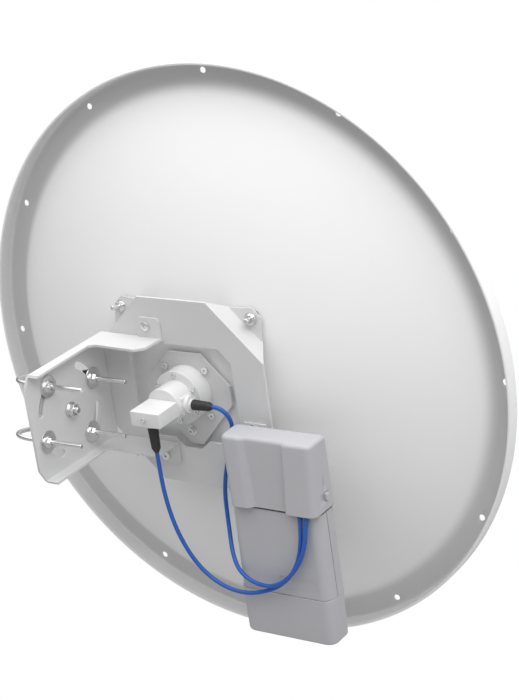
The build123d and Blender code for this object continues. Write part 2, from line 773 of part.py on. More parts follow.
def bottom_cover():
    cup = dict(left=75, right=197.5, top=case_foot - 0.6, left_end=76, right_end=196, end=case_end)
    room = dict(left=76.8, right=195.7, top=case_foot + 1, left_end=78, right_end=194, end=-268.5)
    core = dict(left=83, right=189.5, top=case_foot + 1, left_end=84, right_end=188, end=-262.5)
    with BuildPart() as cover:
        slab(cup, case_back_z, case_front_z + 1, 14, rounded=2)
        front = cover.faces().sort_by(Axis(dish.origin, dish.z_dir))[-1]
        fillet(front.edges().sort_by(Axis(dish.origin, dish.y_dir))[:-1], edge_round)
        slab(room, case_back_z + 1.8, case_front_z - 7.5, 6, 0.0, Mode.SUBTRACT)
        slab(core, case_back_z + 1.8, case_front_z - 1.2, 3, 0.0, Mode.SUBTRACT)
        with BuildSketch(shelf(case_end + 4)):
            with Locations((case_x, 158)):
                Circle(8)
        extrude(amount=8, mode=Mode.SUBTRACT)
    return cover


def cable_grommet():
    with BuildPart() as grommet:
        with BuildSketch(shelf(case_end + 3.0)):
            with Locations((case_x, 158)):
                Circle(7.9)
        extrude(amount=4.2)
        with BuildSketch(shelf(case_end - 0.2)):
            with Locations((case_x, 158)):
                Circle(10)
        extrude(amount=1.6)
        with BuildSketch(shelf(case_end + 3.0)):
            with Locations((case_x, 158)):
                Circle(3)
        extrude(amount=2.5, mode=Mode.SUBTRACT)
    return grommet


def radio_bracket():
    with BuildPart() as bracket:
        with BuildSketch(back(frame_back + 0.2)):
            Polygon((80, -26), (110, -26), (112, -56), (80, -56), align=None)
            with Locations((94, -30), (94, -44)):
                Circle(2.7, mode=Mode.SUBTRACT)
        extrude(amount=2.5)
        with BuildSketch(shelf(-53.5)):
            Polygon((86, frame_back + 0.2), (112, frame_back + 0.2), (112, case_back_z - 2.8),
                    (98, case_back_z - 2.8), align=None)
        extrude(amount=2.5)
        with BuildSketch(back(case_back_z - 2.8)):
            Polygon((98, -53.5), (172, -53.5), (172, -152), (102, -152), (98, -146), align=None)
            with Locations(*bracket_spots):
                Circle(2.3, mode=Mode.SUBTRACT)
        extrude(amount=2.5)
    save(bracket, "radio_bracket")
    spots = [(94, -30), (94, -44)]
    save(bolts(back(frame_back + 2.7), spots, 4.5, 3.0, 2.4, 10.5, 1.7), "radio_bracket_bolts")
    save(nuts(back(frame_back - sheet - 4.2), spots, 8.0, 4.0, 2.4), "radio_bracket_nuts")
    flipped = Plane(origin=spot(0, 0, case_back_z - 2.8), x_dir=-dish.x_dir, z_dir=-dish.z_dir)
    mirrored = [(-x, y) for x, y in bracket_spots]
    save(bolts(flipped, mirrored, 3.6, 2.2, 1.7, 8.0, 1.4), "radio_screws")


# ---- cables ---------------------------------------------------------------------------------
side_route = (
    (57, 0, 151.3), (62.8, 0, 151.3), (68.6, -2.9, 150.4), (72.8, -8.4, 148.2), (74.6, -16.0, 145.4),
    (73.4, -27.0, 142.2), (68.6, -42, 139.4), (62.0, -58, 137.8), (55.5, -76, 138.2),
    (51, -95, 140.5), (50.5, -115, 145), (54.5, -135, 151.5), (61, -154.5, 160.5),
    (68, -172.5, 170.5), (79.5, -187, 180), (95.5, -194.5, 186), (112, -198, 188.5),
    (128.5, -197.5, 189.5), (144.5, -191, 189), (159.5, -178, 187.5), (171, -161.5, 185.5),
    (178.5, -143.5, 184), (182, -126, 182.6), (183, -112.5, 180.8), (184.6, -100, 176.4),
    (185, -88.5, 171), (185, -79, 171),
)
bottom_route = (
    (0, -44.5, 193), (0, -60, 193), (0.5, -79, 193.4), (3, -101, 194.6), (8, -128, 195),
    (17, -156, 194.5), (32, -184, 192.6), (51.5, -202.5, 190.5), (73, -212, 188.5),
    (95.5, -214, 186.4), (117, -208.5, 184), (134.5, -200.5, 182.6), (149, -188.5, 181.8),
    (161, -173, 181.4), (168.5, -156, 181.2), (173, -138, 181), (175, -122, 180.8),
    (174.8, -108.5, 179.2), (172.8, -97, 175.2), (172, -87.5, 171), (172, -79, 171),
)


def corner_radii(points):
    radii = []
    for before, here, after in zip(points, points[1:], points[2:]):
        first, second = here - before, after - here
        turn = radians(first.get_angle(second))
        radii.append(0.45 * min(first.length, second.length) / tan(turn / 2))
    return radii


def cable(route, name):
    points = [spot(*p) for p in route]
    radii = corner_radii(points)
    print(name, "corner radii", [round(r, 1) for r in radii])
    with BuildPart() as tube:
        with BuildLine() as path:
            FilletPolyline(*points, radius=radii)
        with BuildSketch(Plane(origin=path.wires()[0] @ 0, z_dir=path.wires()[0] % 0)):
            Circle(cable_radius)
        sweep()
    length = path.wires()[0].length
    share = tube.part.volume / (length * pi * cable_radius ** 2)
    print(name, "length", round(length, 1), "volume against section times length", round(share, 4))
    save(tube, name)


def cable_boot(plane, length, name):
    """Moulded strain relief standing on a plane, hollow where the jack's barrel goes in."""
    with BuildPart() as boot:
        with BuildSketch(plane):
            Circle(6.2)
        with BuildSketch(plane.offset(length - 5)):
            Circle(5.3)
        loft()
        with BuildSketch(plane.offset(length - 5)):
            Circle(5.3)
        with BuildSketch(plane.offset(length)):
            Circle(2.9)
        loft()
        with BuildSketch(plane):
            Circle(4.45)
        extrude(amount=2.5, mode=Mode.SUBTRACT)
    save(boot, name)


def cable_ends():
    cable_boot(side_plane(30.6), 26.4, "side_cable_boot")
    cable_boot(low_plane(-14.5), 30, "bottom_cable_boot")
    for name, x in jack_spots.items():
        with BuildPart() as plug:
            with BuildSketch(shelf(ledge_bottom - 7.0)):
                with Locations((x, jack_z)):
                    RegularPolygon(4.6, 6, major_radius=False)
            extrude(amount=10)
            with BuildSketch(shelf(ledge_bottom - 17.0)):
                with Locations((x, jack_z)):
                    Circle(3.9)
            extrude(amount=12, taper=4)
        save(plug, f"{name}_cable_plug")


# ---- build ----------------------------------------------------------------------------------
save(pole_saddle(), "pole_saddle")
save(u_bolt(stud_z), "upper_u_bolt")
save(u_bolt(-stud_z), "lower_u_bolt")
clamp_hardware()
save(pole_bracket(), "pole_bracket")
bracket_hardware()
save(hub_frame(), "hub_frame")
frame_hardware()
save(reflector_dish(), "reflector_dish")
feed_mounting()
feed_stack()
feed_ports()
feed_front()
save(case_back(), "case_back")
save(case_front(), "case_front")
case_inside()
save(cable_hood(), "cable_hood")
save(hood_latch(), "hood_latch")
save(bottom_cover(), "bottom_cover")
save(cable_grommet(), "cable_grommet")
radio_bracket()
cable(side_route, "side_cable")
cable(bottom_route, "bottom_cable")
cable_ends()
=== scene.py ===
# Outdoor wireless bridge: finishes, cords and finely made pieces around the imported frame.
import json
from math import cos, pi, radians, sin

import bmesh
import bpy
import numpy as np
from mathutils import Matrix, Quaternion, Vector


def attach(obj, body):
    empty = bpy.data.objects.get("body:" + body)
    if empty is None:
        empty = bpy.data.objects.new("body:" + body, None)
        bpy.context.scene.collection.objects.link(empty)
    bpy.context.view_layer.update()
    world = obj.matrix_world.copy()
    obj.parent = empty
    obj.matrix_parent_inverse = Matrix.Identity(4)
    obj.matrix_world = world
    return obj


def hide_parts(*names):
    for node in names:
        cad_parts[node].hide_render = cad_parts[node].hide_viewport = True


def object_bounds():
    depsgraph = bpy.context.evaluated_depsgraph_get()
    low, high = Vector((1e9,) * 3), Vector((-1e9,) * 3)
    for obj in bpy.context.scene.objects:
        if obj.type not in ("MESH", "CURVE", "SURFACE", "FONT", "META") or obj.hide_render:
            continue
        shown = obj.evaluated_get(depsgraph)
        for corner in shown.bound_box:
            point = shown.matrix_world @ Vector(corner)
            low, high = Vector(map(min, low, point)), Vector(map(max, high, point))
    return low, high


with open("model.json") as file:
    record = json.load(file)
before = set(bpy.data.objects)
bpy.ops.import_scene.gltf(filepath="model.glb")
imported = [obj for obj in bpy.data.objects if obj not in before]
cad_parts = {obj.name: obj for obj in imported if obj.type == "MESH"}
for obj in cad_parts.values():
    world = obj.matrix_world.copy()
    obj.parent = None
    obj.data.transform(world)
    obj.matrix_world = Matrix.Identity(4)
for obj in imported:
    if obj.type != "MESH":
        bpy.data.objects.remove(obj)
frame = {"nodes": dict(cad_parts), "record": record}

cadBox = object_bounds()
millimetre = 0.001       # in metres

# ---- two spaces in millimetres: the mast's, which is the frame's own, and the dish's,
# with x sideways, y up the dish and z backwards from the rim
rimMount = next(m for m in frame["record"]["mounts"] if m["name"] == "rim_holes")
sideAxis = np.array((1.0, 0.0, 0.0))
backAxis = np.array(rimMount["axis"])
upAxis = np.cross(backAxis, sideAxis)
halfSheet = 0.0009                       # the mount lies in the middle of the rim's sheet, in metres
rimMiddle = np.array(rimMount["pos_m"]) + halfSheet * backAxis


def fromMast(points):
    # point in metres = point in millimetres / 1000
    return np.asarray(points, float) * millimetre


def fromDish(points):
    # point = rim middle + x along the side + y up + z backwards
    return rimMiddle + fromMast(points) @ np.array((sideAxis, upAxis, backAxis))


# ---- camera
cameraSettings = {
    "place": (1.4324, -1.7008, 0.3874),
    "aim": (0.3106, -0.0100, 0.0951),
    "roll": 0.84,
    "lens": 98.5,
}


def makeCamera(settings):
    # looks from its place to its aim, rolled about that line
    data = bpy.data.cameras.new("camera")
    data.lens = settings["lens"]
    camera = bpy.data.objects.new("camera", data)
    place = Vector(settings["place"])
    look = (Vector(settings["aim"]) - place).to_track_quat("-Z", "Y")
    camera.rotation_mode = "QUATERNION"
    camera.rotation_quaternion = look @ Quaternion((0, 0, 1), radians(settings["roll"]))
    camera.location = place
    bpy.context.scene.collection.objects.link(camera)
    bpy.context.scene.camera = camera


makeCamera(cameraSettings)
print("camera placed")

# ---- light and floor
studioSettings = {
    "skyPower": 2.4,
    "skyDark": 0.55,         # the sky is black up to here and white from skyWhite, 0 straight down, 1 up
    "skyWhite": 0.95,
    "lights": {              # place in metres and power in watts
        "key": ((1.5, -1.6, 1.8), 13.0),
        "side": ((2.4, -1.0, 0.2), 5.0),
    },
    "lightAim": (0.2, 0.1, 0.0),
    "lightSize": 1.2,
    "floorDrop": 0.9,
    "floorSize": 60.0,
    "floorGrey": 0.30,
}


def grey(level, blue=0.0):
    # an even grey, with a little more blue where asked
    return (level, level, level + blue, 1.0)


def areaLight(name, place, aim, size, power):
    # a square lamp that faces its aim
    data = bpy.data.lights.new(name, "AREA")
    data.size = size
    data.energy = power
    light = bpy.data.objects.new(name, data)
    light.location = place
    light.rotation_mode = "QUATERNION"
    light.rotation_quaternion = (Vector(aim) - Vector(place)).to_track_quat("-Z", "Y")
    bpy.context.scene.collection.objects.link(light)


def makeSky(settings):
    # the camera sees plain white, and the object is lit by a sky that turns from black to white upwards
    world = bpy.data.worlds.new("studio")
    bpy.context.scene.world = world
    world.use_nodes = True
    tree = world.node_tree
    tree.nodes.clear()
    out = tree.nodes.new("ShaderNodeOutputWorld")
    mix = tree.nodes.new("ShaderNodeMixShader")
    seen = tree.nodes.new("ShaderNodeLightPath")
    backdrop = tree.nodes.new("ShaderNodeBackground")
    backdrop.inputs["Color"].default_value = (1, 1, 1, 1)
    sky = tree.nodes.new("ShaderNodeBackground")
    sky.inputs["Strength"].default_value = settings["skyPower"]
    ramp = tree.nodes.new("ShaderNodeValToRGB")
    coords = tree.nodes.new("ShaderNodeTexCoord")
    split = tree.nodes.new("ShaderNodeSeparateXYZ")
    spread = tree.nodes.new("ShaderNodeMapRange")
    spread.inputs["From Min"].default_value = -1.0
    tree.links.new(coords.outputs["Generated"], split.inputs[0])
    tree.links.new(split.outputs["Z"], spread.inputs["Value"])
    tree.links.new(spread.outputs["Result"], ramp.inputs["Fac"])
    for stop, key in zip(ramp.color_ramp.elements, ("skyDark", "skyWhite")):
        stop.position = settings[key]
    tree.links.new(ramp.outputs["Color"], sky.inputs["Color"])
    tree.links.new(seen.outputs["Is Camera Ray"], mix.inputs["Fac"])
    tree.links.new(sky.outputs[0], mix.inputs[1])
    tree.links.new(backdrop.outputs[0], mix.inputs[2])
    tree.links.new(mix.outputs[0], out.inputs[0])


def makeFloor(settings):
    # a pale floor that the camera sees as white and that throws back part of the light
    half, low = settings["floorSize"] / 2, cadBox[0].z - settings["floorDrop"]
    mesh = bpy.data.meshes.new("floor")
    mesh.from_pydata([(-half, -half, low), (half, -half, low), (half, half, low), (-half, half, low)],
                     [], [(0, 1, 2, 3)])
    floor = bpy.data.objects.new("floor", mesh)
    bpy.context.scene.collection.objects.link(floor)
    pale = bpy.data.materials.new("paleFloor")
    pale.use_nodes = True
    nodes, links = pale.node_tree.nodes, pale.node_tree.links
    nodes.clear()
    out, mix = nodes.new("ShaderNodeOutputMaterial"), nodes.new("ShaderNodeMixShader")
    seen, glow = nodes.new("ShaderNodeLightPath"), nodes.new("ShaderNodeEmission")
    matt = nodes.new("ShaderNodeBsdfDiffuse")
    matt.inputs["Color"].default_value = grey(settings["floorGrey"])
    links.new(seen.outputs["Is Camera Ray"], mix.inputs["Fac"])
    links.new(matt.outputs[0], mix.inputs[1])
    links.new(glow.outputs[0], mix.inputs[2])
    links.new(mix.outputs[0], out.inputs[0])
    mesh.materials.append(pale)


makeSky(studioSettings)
for lightName, (lightPlace, lightPower) in studioSettings["lights"].items():
    areaLight(lightName, lightPlace, studioSettings["lightAim"], studioSettings["lightSize"], lightPower)
makeFloor(studioSettings)
bpy.context.scene.view_settings.view_transform = "Standard"
print("studio lit")


# ---- shared surface effects
def newGroup(name, inputs, outputs):
    # an empty node group with its named sockets
    group = bpy.data.node_groups.new(name, "ShaderNodeTree")
    for label, kind, value in inputs:
        socket = group.interface.new_socket(label, in_out="INPUT", socket_type="NodeSocket" + kind)
        if value is not None:
            socket.default_value = value
    for label, kind in outputs:
        group.interface.new_socket(label, in_out="OUTPUT", socket_type="NodeSocket" + kind)
    return group, group.nodes.new("NodeGroupInput"), group.nodes.new("NodeGroupOutput")


def mathNode(tree, action, first, second):
    # one step of arithmetic on two values, each a number or another node's socket
    node = tree.nodes.new("ShaderNodeMath")
    node.operation = action
    for socket, value in zip(node.inputs, (first, second)):
        if isinstance(value, (int, float)):
            socket.default_value = value
        else:
            tree.links.new(value, socket)
    return node.outputs[0]


def toneAndGloss(group, given, result, lift, paint):
    # colour = paint (1 + lift x tone shift), roughness = gloss + lift x gloss shift
    bright = mathNode(group, "ADD", mathNode(group, "MULTIPLY", lift, given.outputs["Tone Shift"]), 1.0)
    tint = group.nodes.new("ShaderNodeVectorMath")
    tint.operation = "SCALE"
    group.links.new(given.outputs[paint], tint.inputs[0])
    group.links.new(bright, tint.inputs["Scale"])
    group.links.new(tint.outputs[0], result.inputs["Color"])
    swing = mathNode(group, "MULTIPLY", lift, given.outputs["Gloss Shift"])
    group.links.new(mathNode(group, "ADD", swing, given.outputs["Gloss"]), result.inputs["Roughness"])


def makePeelGroup():
    # orange peel of a sprayed or powdered coat: a fine cell noise for height, a wide cloud for tone
    group, given, result = newGroup(
        "paintPeel",
        [("Vector", "Vector", None), ("Paint", "Color", (0.8, 0.8, 0.8, 1)), ("Cell Size", "Float", 1.0),
         ("Cloud Size", "Float", 60.0), ("Tone Shift", "Float", 0.04), ("Gloss", "Float", 0.4),
         ("Gloss Shift", "Float", 0.06)],
        [("Color", "Color"), ("Roughness", "Float"), ("Height", "Float")],
    )
    fine = group.nodes.new("ShaderNodeTexNoise")
    fine.inputs["Detail"].default_value = 2.0
    cloud = group.nodes.new("ShaderNodeTexNoise")
    cloud.inputs["Detail"].default_value = 3.0
    for node, size in ((fine, "Cell Size"), (cloud, "Cloud Size")):
        scale = mathNode(group, "DIVIDE", 1000.0, given.outputs[size])
        group.links.new(given.outputs["Vector"], node.inputs["Vector"])
        group.links.new(scale, node.inputs["Scale"])
    toneAndGloss(group, given, result, mathNode(group, "SUBTRACT", cloud.outputs["Fac"], 0.5), "Paint")
    group.links.new(fine.outputs["Fac"], result.inputs["Height"])
    return group


def makeMetalGroup():
    # plated or machined metal: drawn-out scratches for height and gloss, soft blotches for tone
    group, given, result = newGroup(
        "platedMetal",
        [("Vector", "Vector", None), ("Metal", "Color", (0.7, 0.7, 0.7, 1)), ("Stretch", "Vector", (1, 1, 1)),
         ("Line Size", "Float", 0.6), ("Blotch Size", "Float", 6.0), ("Tone Shift", "Float", 0.12),
         ("Gloss", "Float", 0.3), ("Gloss Shift", "Float", 0.2)],
        [("Color", "Color"), ("Roughness", "Float"), ("Height", "Float")],
    )
    drawn = group.nodes.new("ShaderNodeVectorMath")
    drawn.operation = "MULTIPLY"
    group.links.new(given.outputs["Vector"], drawn.inputs[0])
    group.links.new(given.outputs["Stretch"], drawn.inputs[1])
    lines = group.nodes.new("ShaderNodeTexNoise")
    lines.inputs["Detail"].default_value = 4.0
    group.links.new(drawn.outputs[0], lines.inputs["Vector"])
    group.links.new(mathNode(group, "DIVIDE", 1000.0, given.outputs["Line Size"]), lines.inputs["Scale"])
    blotch = group.nodes.new("ShaderNodeTexNoise")
    group.links.new(given.outputs["Vector"], blotch.inputs["Vector"])
    group.links.new(mathNode(group, "DIVIDE", 1000.0, given.outputs["Blotch Size"]),
                    blotch.inputs["Scale"])
    both = mathNode(group, "ADD", lines.outputs["Fac"], blotch.outputs["Fac"])
    toneAndGloss(group, given, result, mathNode(group, "SUBTRACT", both, 1.0), "Metal")
    group.links.new(lines.outputs["Fac"], result.inputs["Height"])
    return group


peelGroup = makePeelGroup()
metalGroup = makeMetalGroup()


def newFinish(name, group, values, bump, shader):
    # one finish: object coordinates through a surface group into the shader, with its height as bump
    material = bpy.data.materials.new(name)
    material.use_nodes = True
    tree = material.node_tree
    principled = tree.nodes["Principled BSDF"]
    coords = tree.nodes.new("ShaderNodeTexCoord")
    effect = tree.nodes.new("ShaderNodeGroup")
    effect.node_tree = group
    tree.links.new(coords.outputs["Object"], effect.inputs["Vector"])
    for label, value in values.items():
        effect.inputs[label].default_value = value
    relief = tree.nodes.new("ShaderNodeBump")
    relief.inputs["Distance"].default_value = bump
    tree.links.new(effect.outputs["Height"], relief.inputs["Height"])
    tree.links.new(relief.outputs["Normal"], principled.inputs["Normal"])
    tree.links.new(effect.outputs["Color"], principled.inputs["Base Color"])
    tree.links.new(effect.outputs["Roughness"], principled.inputs["Roughness"])
    for label, value in shader.items():
        principled.inputs[label].default_value = value
    return material


finishes = {
    "white_steel": newFinish("powderedSteel", peelGroup, {
        "Paint": grey(0.68), "Cell Size": 0.9, "Cloud Size": 45.0, "Tone Shift": 0.05, "Gloss": 0.42,
    }, 0.00006, {"Specular IOR Level": 0.45}),
    "dish_coat": newFinish("powderedDish", peelGroup, {
        "Paint": grey(0.92), "Cell Size": 1.2, "Cloud Size": 160.0, "Tone Shift": 0.03, "Gloss": 0.45,
    }, 0.00004, {"Specular IOR Level": 0.4}),
    "white_casting": newFinish("paintedCasting", peelGroup, {
        "Paint": grey(0.75), "Cell Size": 0.6, "Cloud Size": 20.0, "Tone Shift": 0.03, "Gloss": 0.36,
    }, 0.00003, {"Coat Weight": 0.15, "Coat Roughness": 0.25}),
    "white_plastic": newFinish("whitePlastic", peelGroup, {
        "Paint": (0.82, 0.82, 0.80, 1), "Cell Size": 0.5, "Cloud Size": 30.0, "Gloss": 0.38,
    }, 0.00002, {}),
    "grey_plastic": newFinish("greyPlastic", peelGroup, {
        "Paint": grey(0.48, 0.025), "Cell Size": 0.45, "Cloud Size": 35.0, "Tone Shift": 0.05,
        "Gloss": 0.5, "Gloss Shift": 0.08,
    }, 0.00003, {"Specular IOR Level": 0.4}),
    "black_rubber": newFinish("blackRubber", peelGroup, {
        "Paint": grey(0.022), "Cell Size": 0.4, "Cloud Size": 8.0, "Tone Shift": 0.5, "Gloss": 0.55,
    }, 0.00003, {}),
    "blue_jacket": newFinish("blueJacket", peelGroup, {
        "Paint": (0.014, 0.100, 0.44, 1), "Cell Size": 1.5, "Cloud Size": 14.0, "Tone Shift": 0.12,
        "Gloss": 0.36, "Gloss Shift": 0.1,
    }, 0.00003, {}),
    "board_green": newFinish("boardGreen", peelGroup, {
        "Paint": (0.02, 0.12, 0.05, 1), "Cell Size": 0.8, "Cloud Size": 12.0, "Gloss": 0.3,
    }, 0.00002, {}),
    "clear_dielectric": newFinish("turnedDielectric", peelGroup, {
        "Paint": (0.75, 0.73, 0.66, 1), "Cell Size": 0.7, "Cloud Size": 12.0, "Gloss": 0.3,
    }, 0.00002, {}),
    "bright_zinc": newFinish("brightZinc", metalGroup, {
        "Metal": grey(0.80), "Stretch": (0.15, 1, 1), "Line Size": 0.9, "Tone Shift": 0.06,
        "Gloss": 0.24, "Gloss Shift": 0.08,
    }, 0.000004, {"Metallic": 1.0}),
    "nickel": newFinish("nickel", metalGroup, {
        "Metal": (0.70, 0.67, 0.62, 1), "Line Size": 0.5, "Gloss": 0.22, "Gloss Shift": 0.1,
    }, 0.00001, {"Metallic": 1.0}),
    "tin_can": newFinish("tinnedSheet", metalGroup, {
        "Metal": (0.72, 0.73, 0.74, 1), "Stretch": (1, 0.1, 0.1), "Line Size": 0.8, "Gloss": 0.33,
    }, 0.00001, {"Metallic": 1.0}),
}
print("finishes mixed")

# ---- painted shade in the channel of the dish's rim, where the bowl and the lip keep light out: a ring about the dish axis, radii in metres
rimShadeSettings = {"inner": 0.322, "groove": 0.341, "outer": 0.359, "lip": 0.360, "tone": 0.62}


def addRimShade(material, settings):
    # radius = length of (point - middle) x axis; the paint is multiplied by a ramp of that radius, which
    # paints shade into the rim's channel
    tree = material.node_tree
    shader = tree.nodes["Principled BSDF"]
    paint = shader.inputs["Base Color"].links[0].from_socket
    coords = next(node for node in tree.nodes if node.type == "TEX_COORD")
    arm, turn, length = (tree.nodes.new("ShaderNodeVectorMath") for step in range(3))
    arm.operation, turn.operation, length.operation = "SUBTRACT", "CROSS_PRODUCT", "LENGTH"
    arm.inputs[1].default_value = rimMiddle
    turn.inputs[1].default_value = backAxis
    tree.links.new(coords.outputs["Object"], arm.inputs[0])
    tree.links.new(arm.outputs[0], turn.inputs[0])
    tree.links.new(turn.outputs[0], length.inputs[0])
    ramp = tree.nodes.new("ShaderNodeValToRGB")
    stops = ramp.color_ramp.elements
    tone = settings["tone"]
    stops[0].position, stops[0].color = settings["inner"], (1, 1, 1, 1)
    stops[1].position, stops[1].color = settings["lip"], (1, 1, 1, 1)
    for key in ("groove", "outer"):
        stops.new(settings[key]).color = (tone, tone, tone, 1)
    ramp.color_ramp.interpolation = "EASE"
    tree.links.new(length.outputs["Value"], ramp.inputs["Fac"])
    blend = tree.nodes.new("ShaderNodeVectorMath")
    blend.operation = "MULTIPLY"
    tree.links.new(paint, blend.inputs[0])
    tree.links.new(ramp.outputs["Color"], blend.inputs[1])
    tree.links.new(blend.outputs[0], shader.inputs["Base Color"])


# painted shade: the dish's paint darkened across the channel of its rim
addRimShade(finishes["dish_coat"], rimShadeSettings)

slotOf = {row["node"]: row["material_slot"] for row in frame["record"]["subparts"]}
for nodeName, node in frame["nodes"].items():
    node.data.materials.clear()
    node.data.materials.append(finishes[slotOf[nodeName]])


# ---- making pieces from rows of points, in millimetres
def unit(vector):
    # a vector divided by its length
    vector = np.asarray(vector, float)
    return vector / np.linalg.norm(vector)


def softened(corners, cuts, steps=5, closed=False):
    # a corner P is cut back to A and B, at most 0.49 of the way along its arms; the bridge between them
    # is (1-t)^2 A + 2t(1-t) P + t^2 B
    corners = np.asarray(corners, float)
    cuts = np.broadcast_to(cuts, len(corners))
    t = np.linspace(0, 1, steps)[:, None]
    rows = []
    for place, corner in enumerate(corners):
        if not closed and place in (0, len(corners) - 1):
            rows.append(corner[None])
            continue
        arms = corners[place - 1] - corner, corners[(place + 1) % len(corners)] - corner
        sizes = [max(np.linalg.norm(arm), 1e-9) for arm in arms]
        reach = min(cuts[place], 0.49 * sizes[0], 0.49 * sizes[1])
        start, end = (corner + arm * (reach / size) for arm, size in zip(arms, sizes))
        rows.append((1 - t) ** 2 * start + 2 * t * (1 - t) * corner + t ** 2 * end)
    return np.vstack(rows)


def around(columns):
    # angles that divide the circle evenly
    return np.arange(columns) * (2 * pi / columns)


def turned(rows, start=(0, 0, 0), axis=(0, 0, 1), columns=48):
    # point = start + axis * height + radius * (across cos a + over sin a); a row may vary its radius
    axis = unit(axis)
    across = unit(np.cross((0, 1, 0) if abs(axis[1]) < 0.9 else (1, 0, 0), axis))
    angles = around(columns)
    circle = np.outer(np.cos(angles), across) + np.outer(np.sin(angles), np.cross(axis, across))
    radii = np.array([np.broadcast_to(radius, columns) for radius, height in rows])
    heights = np.array([np.broadcast_to(height, columns) for radius, height in rows])
    return np.asarray(start, float) + heights[..., None] * axis + radii[..., None] * circle, True


def hexRadius(half, columns=48):
    # distance from the middle of a hexagon to its side: half / cos(angle from the flat's middle)
    sixth = pi / 3
    return half / np.cos((around(columns) + sixth / 2) % sixth - sixth / 2)


def boxRings(rows, sizes, cut, start, axes):
    # rectangles with softened corners, pulled in by inset a and raised by b for each row (a, b)
    rings = []
    for inset, height in rows:
        half = np.maximum(np.array(sizes) / 2 - inset, 0)
        corners = half * np.array(((1, 1), (-1, 1), (-1, -1), (1, -1)))
        ring = softened(corners, max(cut - inset, 0.02), 5, True)
        rings.append(np.asarray(start, float) + np.column_stack((ring, np.full(len(ring), height)))
                     @ np.asarray(axes, float))
    return np.array(rings), True


weldDistance = 2e-6       # points closer than this, in metres, are one


def buildPiece(name, patches, node, body, place=fromDish, sharpAngle=38.0, wall=0.0):
    # neighbouring rows and columns of a patch are joined by quads, where its mask keeps them;
    # a lone row becomes one flat face
    points, faces, count = [], [], 0
    for grid, closed, *keep in patches:
        rowCount, columnCount = grid.shape[:2]
        index = count + np.arange(rowCount * columnCount).reshape(rowCount, columnCount)
        if closed:
            index = np.column_stack((index, index[:, :1]))
        quads = np.stack((index[:-1, :-1], index[:-1, 1:], index[1:, 1:], index[1:, :-1]), -1)
        quads = quads[keep[0]] if keep else quads.reshape(-1, 4)
        points.append(grid.reshape(-1, 3))
        faces += [list(index[0, :columnCount])] if rowCount == 1 else quads.tolist()
        count += rowCount * columnCount
    mesh = bpy.data.meshes.new(name)
    mesh.from_pydata(place(np.vstack(points)).tolist(), [], faces)
    finishPiece(bpy.data.objects.new(name, mesh), node, body, sharpAngle, wall)


def finishPiece(piece, node, body, sharpAngle, wall=0.0):
    # doubles merged, faces turned outwards, then the wall inwards, the finish, and the node it replaces
    mesh = piece.data
    work = bmesh.new()
    work.from_mesh(mesh)
    bmesh.ops.remove_doubles(work, verts=work.verts, dist=weldDistance)
    bmesh.ops.dissolve_degenerate(work, edges=work.edges, dist=1e-7)
    bmesh.ops.delete(work, geom=[v for v in work.verts if not v.link_faces], context="VERTS")
    bmesh.ops.recalc_face_normals(work, faces=work.faces)
    work.to_mesh(mesh)
    work.free()
    mesh.polygons.foreach_set("use_smooth", np.full(len(mesh.polygons), True))
    mesh.set_sharp_from_angle(angle=radians(sharpAngle))
    bpy.context.scene.collection.objects.link(piece)
    if wall:
        shell = piece.modifiers.new("wall", "SOLIDIFY")
        shell.thickness = wall * millimetre
        shell.offset = -1.0
    mesh.materials.clear()
    mesh.materials.append(finishes[slotOf[node]])
    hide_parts(node)
    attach(piece, body)
    return piece


wideFace = 0.0008         # a flat face larger than this, in square metres, is shaded flat


def softCopy(node, body, width, sharpAngle=32.0):
    # the engineering mesh welded, its flat fans dissolved, and every hard edge given a small bevel
    mesh = frame["nodes"][node].data.copy()
    work = bmesh.new()
    work.from_mesh(mesh)
    bmesh.ops.remove_doubles(work, verts=work.verts, dist=weldDistance)
    bmesh.ops.dissolve_limit(work, angle_limit=radians(0.3), verts=work.verts, edges=work.edges)
    work.to_mesh(mesh)
    work.free()
    piece = finishPiece(bpy.data.objects.new(node + "Soft", mesh), node, body, sharpAngle)
    areas = np.empty(len(mesh.polygons))
    mesh.polygons.foreach_get("area", areas)
    mesh.polygons.foreach_set("use_smooth", areas < wideFace)
    edge = piece.modifiers.new("edge", "BEVEL")
    edge.width = width * millimetre
    edge.segments = 3
    edge.limit_method = "ANGLE"
    edge.angle_limit = radians(sharpAngle)
    edge.harden_normals = True


# ---- reflector: z = depth - r * r / rise, a flat drilled rim and a turned-back lip
reflectorSettings = {
    "depth": 112.0, "bowl": 337.0, "hub": 26.0, "sheet": 1.8, "columns": 192, "rows": 40,
    "flatStart": 341.0, "flatEnd": 359.0, "holeCircle": 350.0, "hole": 4.0, "holes": 12,
    "shoulder": 5.0, "lip": ((359, 0), (360.5, 1.5), (360.5, 20), (364, 20), (364, 1.5), (360.5, -1.8),
                             (359, -1.8)),
    "lipCuts": (0, 1.4, 1.5, 1.5, 2.2, 1.2, 0),
}


def bowlRows(settings, lift):
    # height = depth - radius * radius / rise + lift, then a softened shoulder out to the flat rim
    rise = settings["bowl"] ** 2 / settings["depth"]
    radii = np.linspace(settings["hub"], settings["bowl"] - 6, settings["rows"])
    bowl = np.column_stack((radii, settings["depth"] - radii ** 2 / rise + lift))
    shoulder = softened((bowl[-1], (settings["bowl"], lift), (settings["flatStart"], lift)),
                        settings["shoulder"], 7)
    return np.vstack((bowl, shoulder[1:]))


